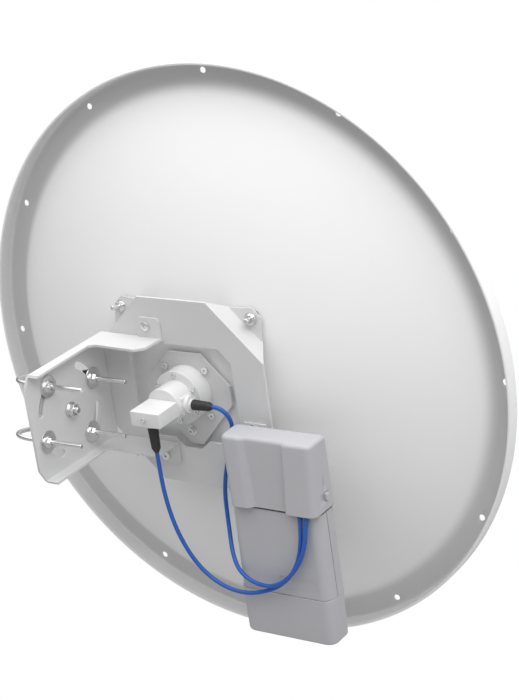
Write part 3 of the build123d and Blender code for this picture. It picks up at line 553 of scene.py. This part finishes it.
def rimSector(settings, turn):
    # one twelfth of the flat rim, blended from its border to the drilled hole and through it
    half = pi / settings["holes"]
    arc = turn + np.linspace(-half, half, settings["columns"] // settings["holes"] + 1)
    inner, outer = settings["flatStart"], settings["flatEnd"]
    steps = np.linspace(inner, outer, 5)[1:-1]
    radius = np.concatenate((np.full(len(arc), inner), steps, np.full(len(arc), outer), steps[::-1]))
    angle = np.concatenate((arc, np.full(3, arc[-1]), arc[::-1], np.full(3, arc[0])))
    border = np.column_stack((radius * np.cos(angle), radius * np.sin(angle)))
    middle = settings["holeCircle"] * np.array((cos(turn), sin(turn)))
    away = border - middle
    away /= np.linalg.norm(away, axis=1)[:, None]
    hole, sheet = settings["hole"], settings["sheet"]
    mouth = middle + (hole + 0.35) * away
    blends = [border + (mouth - border) * share for share in (0, 0.35, 0.65, 0.85, 1)]
    wall = [(hole + grow, -drop) for grow, drop in
            ((0.1, 0.1), (0, 0.35), (0, sheet - 0.35), (0.1, sheet - 0.1))]
    rows = [(ring, 0.0) for ring in blends]
    rows += [(middle + size * away, level) for size, level in wall]
    rows += [(ring, -sheet) for ring in blends[::-1]]
    return np.array([np.column_stack((ring, np.full(len(ring), level))) for ring, level in rows]), True


def makeReflector(settings):
    # both faces of the bowl and its lip turned about the dish axis, and twelve drilled stretches of rim
    columns, sheet = settings["columns"], settings["sheet"]
    rearRows, frontRows = bowlRows(settings, 0.0), bowlRows(settings, -sheet)
    inside = np.vstack((rearRows[::-1], frontRows))
    patches = [turned(inside, columns=columns)]
    patches.append(turned(softened(settings["lip"], settings["lipCuts"], 6), columns=columns))
    patches += [rimSector(settings, around(settings["holes"])[place])
                for place in range(settings["holes"])]
    buildPiece("reflectorShell", patches, "reflector_dish", "antenna", sharpAngle=30.0)


makeReflector(reflectorSettings)
print("reflector spun")


# ---- fasteners
def screwRows(head, high, shank, length, socket, columns=48):
    # recess floor, hexagonal recess, softened head, shank and its pointed end
    outside = softened(((head * 0.72, high), (head, high), (head, 0), (shank, 0)), (0, high * 0.6, 0.15, 0))
    recess, mouth, recessFloor = hexRadius(socket, columns), hexRadius(socket + 0.2, columns), high * 0.45
    rows = [(0, recessFloor), (recess, recessFloor), (recess, high - 0.15), (mouth, high)]
    rows += [tuple(row) for row in outside]
    return rows + [(shank, 0.6 - length), (shank - 0.5, -length), (0, -length)]


threadSettings = {"depth": 0.09, "steps": 6}       # depth as a share of the pitch, rows in each turn


def threadRows(radius, low, high, pitch, columns=36):
    # radius falls by a share of the pitch as (height / pitch - angle / turn) runs through one cycle
    heights = np.arange(low, high, pitch / threadSettings["steps"])
    phase = (heights[:, None] / pitch - np.arange(columns) / columns) % 1.0
    depth = threadSettings["depth"] * pitch * (1 - np.abs(2 * phase - 1))
    return [(radius - dent, height) for dent, height in zip(depth, heights)]


nutSettings = {"coneSlope": 1.73, "skirtFrom": 0.5, "skirtFall": 1.5, "skirtRows": 2.2, "flangeEdge": 0.3}


def nutRows(across, high, bore, flange=0.0, columns=48):
    # hexagon cut by cones: the radius is the smaller of the flat's and the cone's, or the flange's,
    # which falls with the square of the height; a flange leaves out the lower cone
    settings = nutSettings
    half, slope = across / 2, settings["coneSlope"]
    flats = hexRadius(half, columns)
    rows = [(bore, 0), (flange - settings["flangeEdge"] if flange else half, 0)]
    for level in np.concatenate((np.linspace(0, settings["skirtRows"], 10),
                                 np.linspace(settings["skirtRows"] + 0.2, high, 14))):
        cone = half + slope * (high - level)
        skirt = 0
        if flange:
            skirt = flange - settings["skirtFall"] * max(level - settings["skirtFrom"], 0) ** 2
        else:
            cone = min(cone, half + slope * level)
        rows.append((np.maximum(np.minimum(flats, cone), skirt), level))
    return rows + [(half * 0.97, high), (bore + 0.5, high), (bore, high - 0.5), (bore, 0)]


def washerRows(radius, high, bore):
    # a rectangle beside the axis with softened corners, closed on itself
    rows = softened(((bore, 0), (radius, 0), (radius, high), (bore, high)), 0.3, 4)
    return np.vstack((rows, rows[:1]))


# a washer's radius, thickness and bore, a nut's width, height, bore and flange, a screw's head radius,
# head height, shank radius, length and half socket
fastenerSettings = {
    "studs": [(y, z) for y in (-40.5, 40.5) for z in (-32.0, 32.0)],
    "seat": 42.3, "studWasher": (13.0, 1.6, 3.2), "studNut": (10.0, 6.0, 3.0, 7.0),
    "pivotWasher": (9.0, 1.6, 4.0), "pivotNut": (13.0, 6.5, 4.0),
    "pivotHead": 35.7, "pivotTip": 55.0, "pivotPoint": 0.8, "pivotPitch": 1.25,
    "pivotHex": (13.0, 5.3, 0.0), "pivotCrown": 6.3,
    "footSpot": 90.5, "feet": (45, 135, 225, 315), "pad": 3.0, "sheet": 3.0, "gap": 0.3,
    "footWasher": (7.8, 1.6, 3.2), "footNut": (10.0, 5.0, 3.0, 6.5), "footHeadLift": -1.9,
    "footRod": 3.0, "footThread": (13.0, 23.4, 1.0), "footTip": 24.0,
    "footHead": (6.0, 3.0, 1.6, 2.0),               # radius, height, recess floor, half socket
    "groups": {
        "feed_plate_screws": (116.5, [(x, y) for x in (-28.3, 28.3) for y in (-28.3, 28.3)],
                              (4.3, 3.4, 2.2, 13.0, 1.7)),
        "feed_ring_screws": (140.0, [(28.5 * cos(radians(t)), 28.5 * sin(radians(t)))
                                     for t in range(30, 390, 60)], (2.9, 2.2, 1.5, 3.6, 1.2)),
        "bracket_bolts": (129.2, [(-38, 82), (-38, -82)], (5.5, 3.6, 3.0, 14.0, 2.0)),
        "radio_bracket_bolts": (128.7, [(94, -30), (94, -44)], (4.5, 3.0, 2.4, 10.5, 1.7)),
        "tuning_screw": (205.0, [(-1.5, 0)], (3.2, 2.4, 1.6, 1.5, 1.3)),
    },
    "groundScrew": ((-4, -51, 117.5), (4.3, 4.0, 2.2, 7.0, 1.7)),
    "groundWasher": ((-4, -51, 116.5), (6.0, 1.0, 2.2)),
    "earthScrew": ((-61.5, -67.5, 150), (4.5, 3.0, 2.5, 2.3, 1.6)),
}


def makeClampFasteners(settings):
    # the washers and nuts turned about x on the clamp's seat, and the pivot bolt from both sides
    seat, studs, along = settings["seat"], settings["studs"], (1, 0, 0)
    rest = seat + settings["studWasher"][1]
    for name, node, rows, level, spots, sharpAngle in (
        ("studWashers", "u_bolt_washers", washerRows(*settings["studWasher"]), seat, studs, 38.0),
        ("studNuts", "u_bolt_nuts", nutRows(*settings["studNut"]), rest, studs, 24.0),
        ("pivotWasher", "pivot_washer", washerRows(*settings["pivotWasher"]), seat, [(0, 0)], 38.0),
        ("pivotNut", "pivot_nut", nutRows(*settings["pivotNut"]), rest, [(0, 0)], 24.0),
    ):
        buildPiece(name, [turned(rows, (level, y, z), along) for y, z in spots], node, "mast_clamp",
                   fromMast, sharpAngle)
    base, rod, high = settings["pivotHead"], settings["pivotWasher"][2], settings["pivotHex"][1]
    head = [(0, 0)] + nutRows(*settings["pivotHex"])[1:-4] + [(settings["pivotCrown"], high), (0, high)]
    plain, tip = rest - base, settings["pivotTip"] - base
    threadEnd = tip - settings["pivotPoint"]
    shank = [(0, 0), (rod, 0), (rod, plain)]
    shank += threadRows(rod, plain, threadEnd, settings["pivotPitch"], 48)
    shank += [(rod, threadEnd), (rod - settings["pivotPoint"], tip), (0, tip)]
    buildPiece("pivotBolt", [turned(head, (base, 0, 0), (-1, 0, 0)), turned(shank, (base, 0, 0), along)],
               "pivot_bolt", "mast_clamp", fromMast, 24.0)


def footFrame(settings, turn, lift):
    # a foot stands at distance reach from the axis, where the bowl's normal leans out by 2 reach / rise
    rise = reflectorSettings["bowl"] ** 2 / reflectorSettings["depth"]
    reach = settings["footSpot"] * 2 ** 0.5
    away = np.array((cos(radians(turn)), sin(radians(turn)), 0))
    normal = unit(away * (2 * reach / rise) + (0, 0, 1))
    level = reflectorSettings["depth"] - reach ** 2 / rise
    return away * reach + (0, 0, level) + normal * lift, normal


def footBoltRows(settings, columns=36):
    # a domed head with a hexagonal recess under the sheet, a plain stretch and a threaded end
    radius, high, recessFloor, socket = settings["footHead"]
    rod, tip = settings["footRod"], settings["footTip"]
    threadStart, threadEnd, pitch = settings["footThread"]
    recess, mouth = hexRadius(socket, columns), hexRadius(socket + 0.2, columns)
    dome = softened(((4, -high), (radius, -high), (radius, 0), (rod, 0)), (0, 1.6, 0.2, 0))
    rows = [(0, -recessFloor), (recess, -recessFloor), (recess, 0.1 - high), (mouth, -high)]
    rows += [tuple(row) for row in dome] + [(rod, threadStart)]
    rows += threadRows(rod, threadStart, threadEnd, pitch, columns)
    return rows + [(rod, threadEnd), (rod - 0.6, tip), (0, tip)]


def makeDishFasteners(settings):
    # each foot carries bolt, washer and nut along the bowl's normal; the screws stand along the dish axis
    washerLift = settings["pad"] + settings["gap"] + settings["sheet"]
    nutLift = washerLift + settings["footWasher"][1]
    for name, node, rows, lift, columns, sharpAngle in (
        ("footWashers", "frame_washers", washerRows(*settings["footWasher"]), washerLift, 48, 38.0),
        ("footNuts", "frame_nuts", nutRows(*settings["footNut"]), nutLift, 48, 24.0),
        ("footBolts", "frame_bolts", footBoltRows(settings), settings["footHeadLift"], 36, 24.0),
    ):
        patches = [turned(rows, *footFrame(settings, turn, lift), columns) for turn in settings["feet"]]
        buildPiece(name, patches, node, "antenna", sharpAngle=sharpAngle)
    for node, (level, spots, sizes) in settings["groups"].items():
        buildPiece(node + "Heads", [turned(screwRows(*sizes), (x, y, level)) for x, y in spots],
                   node, "antenna", sharpAngle=30.0)
    spot, sizes = settings["groundScrew"]
    washerSpot, washerSizes = settings["groundWasher"]
    buildPiece("groundScrew", [turned(screwRows(*sizes), spot), turned(washerRows(*washerSizes), washerSpot)],
               "ground_screw", "antenna", sharpAngle=30.0)
    spot, sizes = settings["earthScrew"]
    buildPiece("earthScrew", [turned(screwRows(*sizes), spot, (0, -1, 0))], "earth_screw", "antenna",
               sharpAngle=30.0)


makeClampFasteners(fastenerSettings)
makeDishFasteners(fastenerSettings)
print("fasteners turned")

# ---- U-bolts
uBoltSettings = {"rod": 2.65, "stud": 3.0, "spread": 40.5, "bendAt": 16.55, "threadFrom": 44.0,
                 "tip": 92.0, "point": 0.8, "pitch": 1.0, "columns": 30, "neck": (29.5, 30.5),
                 "levels": {"upper": 32.0, "lower": -32.0}}


def makeUBolt(name, level, settings):
    # a round section carried along leg, half circle and leg, with a fine thread on the legs:
    # point = (bendAt - reach cos turn, reach sin turn, level + rod sin a), where reach = spread + rod cos a
    spread, bendAt, tip, columns = (settings[key] for key in ("spread", "bendAt", "tip", "columns"))
    rod, stud, threadFrom = settings["rod"], settings["stud"], settings["threadFrom"]
    threadEnd = tip - settings["point"]
    leg = [(0, tip), (stud - settings["point"], tip), (stud, threadEnd)]
    leg += threadRows(stud, threadFrom, threadEnd, settings["pitch"], columns)[::-1]
    leg += [(stud, threadFrom - 0.5), (stud, settings["neck"][1]), (rod, settings["neck"][0])]
    angles = around(columns)
    sizes = np.array([np.broadcast_to(size, columns) for size, along in leg])
    alongs = np.array([np.full(columns, along) for size, along in leg])
    legs = [np.dstack((alongs, way * (spread + sizes * np.cos(angles)), level + sizes * np.sin(angles)))
            for way in (-1, 1)]
    turns = np.linspace(-pi / 2, pi / 2, 41)[:, None]
    reach = spread + rod * np.cos(angles)
    bend = np.dstack((bendAt - reach * np.cos(turns), reach * np.sin(turns),
                      np.tile(level + rod * np.sin(angles), (len(turns), 1))))
    path = np.concatenate((legs[0], bend, legs[1][::-1]))
    buildPiece(name + "UBolt", [(path, True)], name + "_u_bolt", "mast_clamp", fromMast, 24.0)


for boltName, boltLevel in uBoltSettings["levels"].items():
    makeUBolt(boltName, boltLevel, uBoltSettings)
print("clamp bolts bent")

# ---- feed: radii, and the heights of its faces along the dish axis
feedSettings = {
    "adapter": 32.5, "body": 22.3, "bore": 19.5, "tube": 21.5, "adapterNose": 24.0, "bodyWall": 2.0,
    "noseFront": 103.0, "plateBack": 116.5, "ringFront": 136.2, "ringBack": 140.0, "bodyBack": 168.0,
    "blockBack": 205.0, "tubeFront": -118.0,
    "block": (40.0, 18.0), "blockEdge": 0.7,
    "port": (21.0, 20.0, 151.3, 14.0, 22.8),           # width, height, level, start and end of its pad
    "portEdge": 0.6,
    "boss": ((4.5, 0), (10.6, 0), (10.6, 4.9), (6.6, 4.9), (6.6, 7.6), (4.5, 7.6), (4.5, 0)),
    "radomeOutside": ((21.6, -106.2), (21.6, -104), (24, -104), (46, -112), (46, -160), (0, -160)),
    "radomeInside": ((0, -158), (44, -158), (44, -113.4), (24.4, -106.2), (21.6, -106.2)),
    "jacks": {                                         # start, axis, flange, thickness, barrel, inner depth
        "side_port_jack": ((22.8, 0, 151.3), (1, 0, 0), 10.2, 4.6, 5.6, 8.0),
        "bottom_port_jack": ((0, -9, 193), (0, -1, 0), 9.6, 2.3, 5.2, 2.4),
    },
}


def edgeRows(curve, high):
    # a quarter circle that ends a boxed stretch: inset = curve (1 - cos t), height = high - curve (1 - sin t)
    return [(curve * (1 - cos(t)), high - curve + curve * sin(t)) for t in np.linspace(0, pi / 2, 5)]


def makeFeed(settings):
    # profiles turned about the dish axis, each with the cut of its corners, and boxes for the port's pad
    # and the end block
    adapter, bore, tube, body = (settings[key] for key in ("adapter", "bore", "tube", "body"))
    plateBack, ringFront, ringBack = (settings[key] for key in ("plateBack", "ringFront", "ringBack"))
    bodyBack, bodyFloor = settings["bodyBack"], settings["bodyBack"] - settings["bodyWall"]
    nose, noseFront, fit = settings["adapterNose"], settings["noseFront"], tube + 0.02
    rows = softened(((bore, ringFront), (adapter, ringFront), (adapter, plateBack), (nose, plateBack),
                     (nose, noseFront), (fit, noseFront), (fit, plateBack), (bore, plateBack),
                     (bore, ringFront)), 0.5, 4)
    buildPiece("feedAdapter", [turned(rows, columns=96)], "feed_adapter", "antenna")
    rows = softened(((0, bodyBack), (body, bodyBack), (body, ringBack), (adapter, ringBack),
                     (adapter, ringFront), (bore, ringFront), (bore, bodyFloor), (0, bodyFloor)),
                    (0, 0.8, 0.9, 0.6, 0.5, 0.3, 0.3, 0), 5)
    wide, tall, level, start, end = settings["port"]
    deep = end - start
    pad = boxRings([(3, 0), (0, 0)] + edgeRows(settings["portEdge"], deep) + [(tall / 2, deep)],
                   (wide, tall), 1.2, (start, 0, level), ((0, 1, 0), (0, 0, 1), (1, 0, 0)))
    boss = softened(settings["boss"], (0, 0.3, 0.7, 0.3, 0.5, 0.2, 0), 4)
    buildPiece("feedBody", [turned(rows, columns=96), pad, turned(boss, (end, 0, level), (1, 0, 0), 64)],
               "feed_body", "antenna")
    deep, narrow = settings["blockBack"] - bodyBack, settings["block"][1]
    rows = [(narrow / 2, 0), (0, 0)] + edgeRows(settings["blockEdge"], deep) + [(narrow / 2, deep)]
    block = boxRings(rows, settings["block"], 1.1, (0, 0, bodyBack), ((1, 0, 0), (0, 1, 0), (0, 0, 1)))
    buildPiece("feedBlock", [block], "feed_end_block", "antenna")
    tubeBack, tubeFront = plateBack - 0.2, settings["tubeFront"]
    rows = softened(((tube, tubeBack), (tube, tubeFront), (bore, tubeFront), (bore, tubeBack),
                     (tube, tubeBack)), 0.4, 4)
    buildPiece("feedTube", [turned(rows, columns=96)], "feed_tube", "antenna")
    cup = softened(settings["radomeOutside"], (0, 0.5, 3, 4, 12, 0), 9)
    inner = softened(settings["radomeInside"], (0, 10, 3, 1, 0), 9)
    buildPiece("feedRadome", [turned(np.vstack((cup, inner)), columns=120)], "feed_radome", "antenna")
    for node, (start, axis, flange, thick, barrel, inside) in settings["jacks"].items():
        rows = softened(((0, thick + barrel), (4.4, thick + barrel), (4.4, thick), (flange, thick),
                         (flange, 0), (2.2, 0), (2.2, -inside), (0, -inside)), 0.4, 4)
        buildPiece(node + "Turned", [turned(rows, start, axis, 64)], node, "antenna")


makeFeed(feedSettings)
print("feed turned")

# ---- cable hood: two lobes and a recess along its length, a crown on top, open behind and below
hoodSettings = {
    "top": -22.0, "bottom": -104.5,                    # pairs below hold at the first and at the second
    "left": (79.0, 84.0), "right": (198.0, 198.5), "front": (178.0, 184.0),
    "groove": (3.0, 6.5), "lobeRight": (163.0, 160.0),
    "lobeLeft": (24.0, 32.0),                          # from the left side to the groove's two edges
    "low": 139.7, "crown": -20.3, "round": 4.4, "wall": 2.0,
    "window": (91.5, 183.5, -30.0),                    # left and right edge and top of the rear opening
    "latch": (-88.0, 157.0, 4.4, 3.5),                 # middle and half size of the latch's hole
    "slit": (159.1, 159.9, -82.0, -70.0),              # its depths and its heights
    "edge": 0.4, "firstRow": -99, "rows": (-60, -45), "lastRow": -27,
    "button": {"base": 192.9, "flange": (12, 7.6), "step": 194.3, "size": (8, 6), "high": 7.2, "round": 0.9},
}


def hoodRing(settings, y, inset):
    # every corner moves in a straight line from the top section to the bottom one
    share = (settings["top"] - y) / (settings["top"] - settings["bottom"])
    left, right, front, groove, lobe = (
        settings[key][0] + share * (settings[key][1] - settings[key][0])
        for key in ("left", "right", "front", "groove", "lobeRight"))
    low = settings["low"] + 2.0 * inset
    nearLobe, farLobe = settings["lobeLeft"]
    latchZ, deep, slit = settings["latch"][1], settings["latch"][3], settings["slit"]
    corners = [
        (left + inset, low), (left + inset, front - inset), (left + nearLobe - inset, front - inset),
        (left + farLobe - inset, front - groove - inset), (lobe - 3.5 + inset, front - groove - inset),
        (lobe + inset, front - inset), (right - inset, front - inset), (right - inset, latchZ + deep),
        (right - inset, slit[1]), (right - inset, slit[0]), (right - inset, latchZ - deep),
        (right - inset, low), (settings["window"][1], low), (settings["window"][0], low),
    ]
    cuts = np.array((7 + inset, 10, 2.5, 2.5, 1.2, 1.6, 14, 0, 0, 0, 0, 13 + 1.6 * inset, 0, 0), float)
    cuts[[1, 6]] -= inset
    ring = softened(corners, cuts, 7, True)
    return np.column_stack((ring[:, 0], np.full(len(ring), y), ring[:, 1]))


def makeHood(settings):
    # rings from the bottom edge to the crown, where a quarter circle pulls them in; the faces of the
    # rear opening, the latch's hole and the slit are left out
    latchY, latchZ, tall, deep = settings["latch"]
    slitStart, slitEnd, slitLow, slitHigh = settings["slit"]
    curve, bottom, windowTop = settings["round"], settings["bottom"], settings["window"][2]
    crownStart = settings["crown"] - curve
    levels = [bottom, bottom + settings["edge"], settings["firstRow"], latchY - tall, latchY,
              latchY + tall, slitLow, slitHigh, *settings["rows"], windowTop, settings["lastRow"],
              crownStart]
    rings = [hoodRing(settings, y, 0.0) for y in levels]
    rings += [hoodRing(settings, crownStart + curve * sin(turn), curve * (1 - cos(turn)))
              for turn in np.linspace(0, pi / 2, 8)[1:]]
    grid = np.array(rings)
    closed = np.concatenate((grid, grid[:, :1]), axis=1)
    centre = (closed[:-1, :-1] + closed[1:, :-1] + closed[:-1, 1:] + closed[1:, 1:]) / 4
    x, y, z = centre[..., 0], centre[..., 1], centre[..., 2]
    window = ((x > settings["window"][0] - 0.1) & (x < settings["window"][1] + 0.1)
              & (z < settings["low"] + 0.2) & (y < windowTop))
    onSide = x > settings["right"][0] - 0.5
    latchHole = onSide & (abs(y - latchY) < tall) & (abs(z - latchZ) < deep)
    slitHole = onSide & (z > slitStart) & (z < slitEnd) & (y > slitLow) & (y < slitHigh)
    buildPiece("hoodShell", [(grid, True, ~(window | latchHole | slitHole)), (grid[-1:], True)],
               "cable_hood", "cable_hood", sharpAngle=28.0, wall=settings["wall"])
    button, axes = settings["button"], ((0, 1, 0), (0, 0, 1), (1, 0, 0))
    flange = [(3.8, 0), (0, 0), (0, 1.2), (0.3, 1.4), (3.8, 1.4)]
    knob = [(3, -0.5), (0, -0.5)] + edgeRows(button["round"], button["high"]) + [(3, button["high"])]
    base, step = (button["base"], latchY, latchZ), (button["step"], latchY, latchZ)
    buildPiece("latchButton", [boxRings(flange, button["flange"], 0.8, base, axes),
                               boxRings(knob, button["size"], 1.0, step, axes)],
               "hood_latch", "hood_latch")


makeHood(hoodSettings)
print("hood shaped")

# ---- bottom cover: a tapering cup of rounded section, open above
coverSettings = {"top": -213.6, "end": -271.0, "left": (75.0, 76.0), "right": (197.5, 196.0),
                 "back": 142.0, "front": 176.5, "round": 4.0, "wall": 1.8, "edge": 0.4, "middle": -240.0,
                 "cuts": (6, 13, 13, 6), "grommet": (137.5, 158.0, 8.0)}       # grommet: middle and radius


def coverRing(settings, y, inset):
    # a rectangle with rounded corners whose sides move in a straight line from the top to the end
    share = (settings["top"] - y) / (settings["top"] - settings["end"])
    left, right = (settings[key][0] + share * (settings[key][1] - settings[key][0])
                   for key in ("left", "right"))
    low, high = settings["back"] + inset, settings["front"] - inset
    corners = ((left + inset, low), (left + inset, high), (right - inset, high), (right - inset, low))
    ring = softened(corners, np.array(settings["cuts"], float) - 0.5 * inset, 13, True)
    return np.column_stack((ring[:, 0], np.full(len(ring), y), ring[:, 1]))


def makeCover(settings):
    # rings down to the end, a quarter circle inwards, and a flat floor to the grommet's round hole
    curve, top, end = settings["round"], settings["top"], settings["end"]
    rings = [coverRing(settings, y, 0.0) for y in
             (top, top - settings["edge"], settings["middle"], end + curve)]
    rings += [coverRing(settings, end + curve * (1 - sin(turn)), curve * (1 - cos(turn)))
              for turn in np.linspace(0, pi / 2, 8)[1:]]
    x, z, size = settings["grommet"]
    away = rings[-1] - (x, end, z)
    away /= np.linalg.norm(away, axis=1)[:, None]
    rings.append(np.array((x, end, z)) + size * away)
    buildPiece("coverCup", [(np.array(rings), True)], "bottom_cover", "bottom_cover", sharpAngle=28.0,
               wall=settings["wall"])


makeCover(coverSettings)
print("cover shaped")

# ---- sheet steel and mouldings: softened copies
for nodeName, bodyName, width in (
    ("pole_bracket", "antenna", 0.45), ("hub_frame", "antenna", 0.45), ("feed_plate", "antenna", 0.4),
    ("radio_bracket", "antenna", 0.35), ("pole_saddle", "mast_clamp", 0.5), ("case_back", "antenna", 0.3),
    ("case_front", "antenna", 0.3), ("feed_lock_ring", "antenna", 0.5), ("foot_pads", "antenna", 0.4),
):
    softCopy(nodeName, bodyName, width)
print("edges softened")

# ---- the two jumper cables
cableSettings = {
    "diameter": 5.0,
    "side": {
        "length": 412.8,
        "route": [
            (57, 0, 151.3), (62.8, 0, 151.3), (68.6, -2.9, 150.4), (72.8, -8.4, 148.2),
            (74.6, -16.0, 145.4), (73.4, -27.0, 142.2), (68.6, -42, 139.4), (62.0, -58, 137.8),
            (55.5, -76, 138.2), (51, -95, 140.5), (50.5, -115, 145), (54.5, -135, 151.5),
            (61, -154.5, 160.5), (68, -172.5, 170.5), (79.5, -187, 180), (95.5, -194.5, 186),
            (112, -198, 188.5), (128.5, -197.5, 189.5), (144.5, -191, 189), (159.5, -178, 187.5),
            (171, -161.5, 185.5), (178.5, -143.5, 184), (182, -126, 182.6), (183, -112.5, 180.8),
            (184.6, -100, 176.4), (185, -88.5, 171), (185, -79, 171),
        ],
    },
    "bottom": {
        "length": 395.3,
        "route": [
            (0, -44.5, 193), (0, -60, 193), (0.5, -79, 193.4), (3, -101, 194.6), (8, -128, 195),
            (17, -156, 194.5), (32, -184, 192.6), (51.5, -202.5, 190.5), (73, -212, 188.5),
            (95.5, -214, 186.4), (117, -208.5, 184), (134.5, -200.5, 182.6), (149, -188.5, 181.8),
            (161, -173, 181.4), (168.5, -156, 181.2), (173, -138, 181), (175, -122, 180.8),
            (174.8, -108.5, 179.2), (172.8, -97, 175.2), (172, -87.5, 171), (172, -79, 171),
        ],
    },
}


def makeCable(name, settings, diameter):
    # one smooth curve with the route's points as its control points, and a round section
    data = bpy.data.curves.new(name + "Jumper", "CURVE")
    data.dimensions = "3D"
    data.bevel_depth = diameter / 2 * millimetre
    data.bevel_resolution = 6
    data.resolution_u = 10
    data.render_resolution_u = 10
    data.use_fill_caps = True
    points = fromDish(settings["route"])
    spline = data.splines.new("NURBS")
    spline.points.add(len(points) - 1)
    spline.points.foreach_set("co", np.column_stack((points, np.ones(len(points)))).ravel())
    spline.order_u = 3
    spline.use_endpoint_u = True
    cable = bpy.data.objects.new(name + "Jumper", data)
    bpy.context.scene.collection.objects.link(cable)
    data.materials.append(finishes["blue_jacket"])
    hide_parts(name + "_cable")
    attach(cable, "antenna")
    return cable


for cableName in ("side", "bottom"):
    jumper = cableSettings[cableName]
    makeCable(cableName, jumper, cableSettings["diameter"])
print("cables laid")
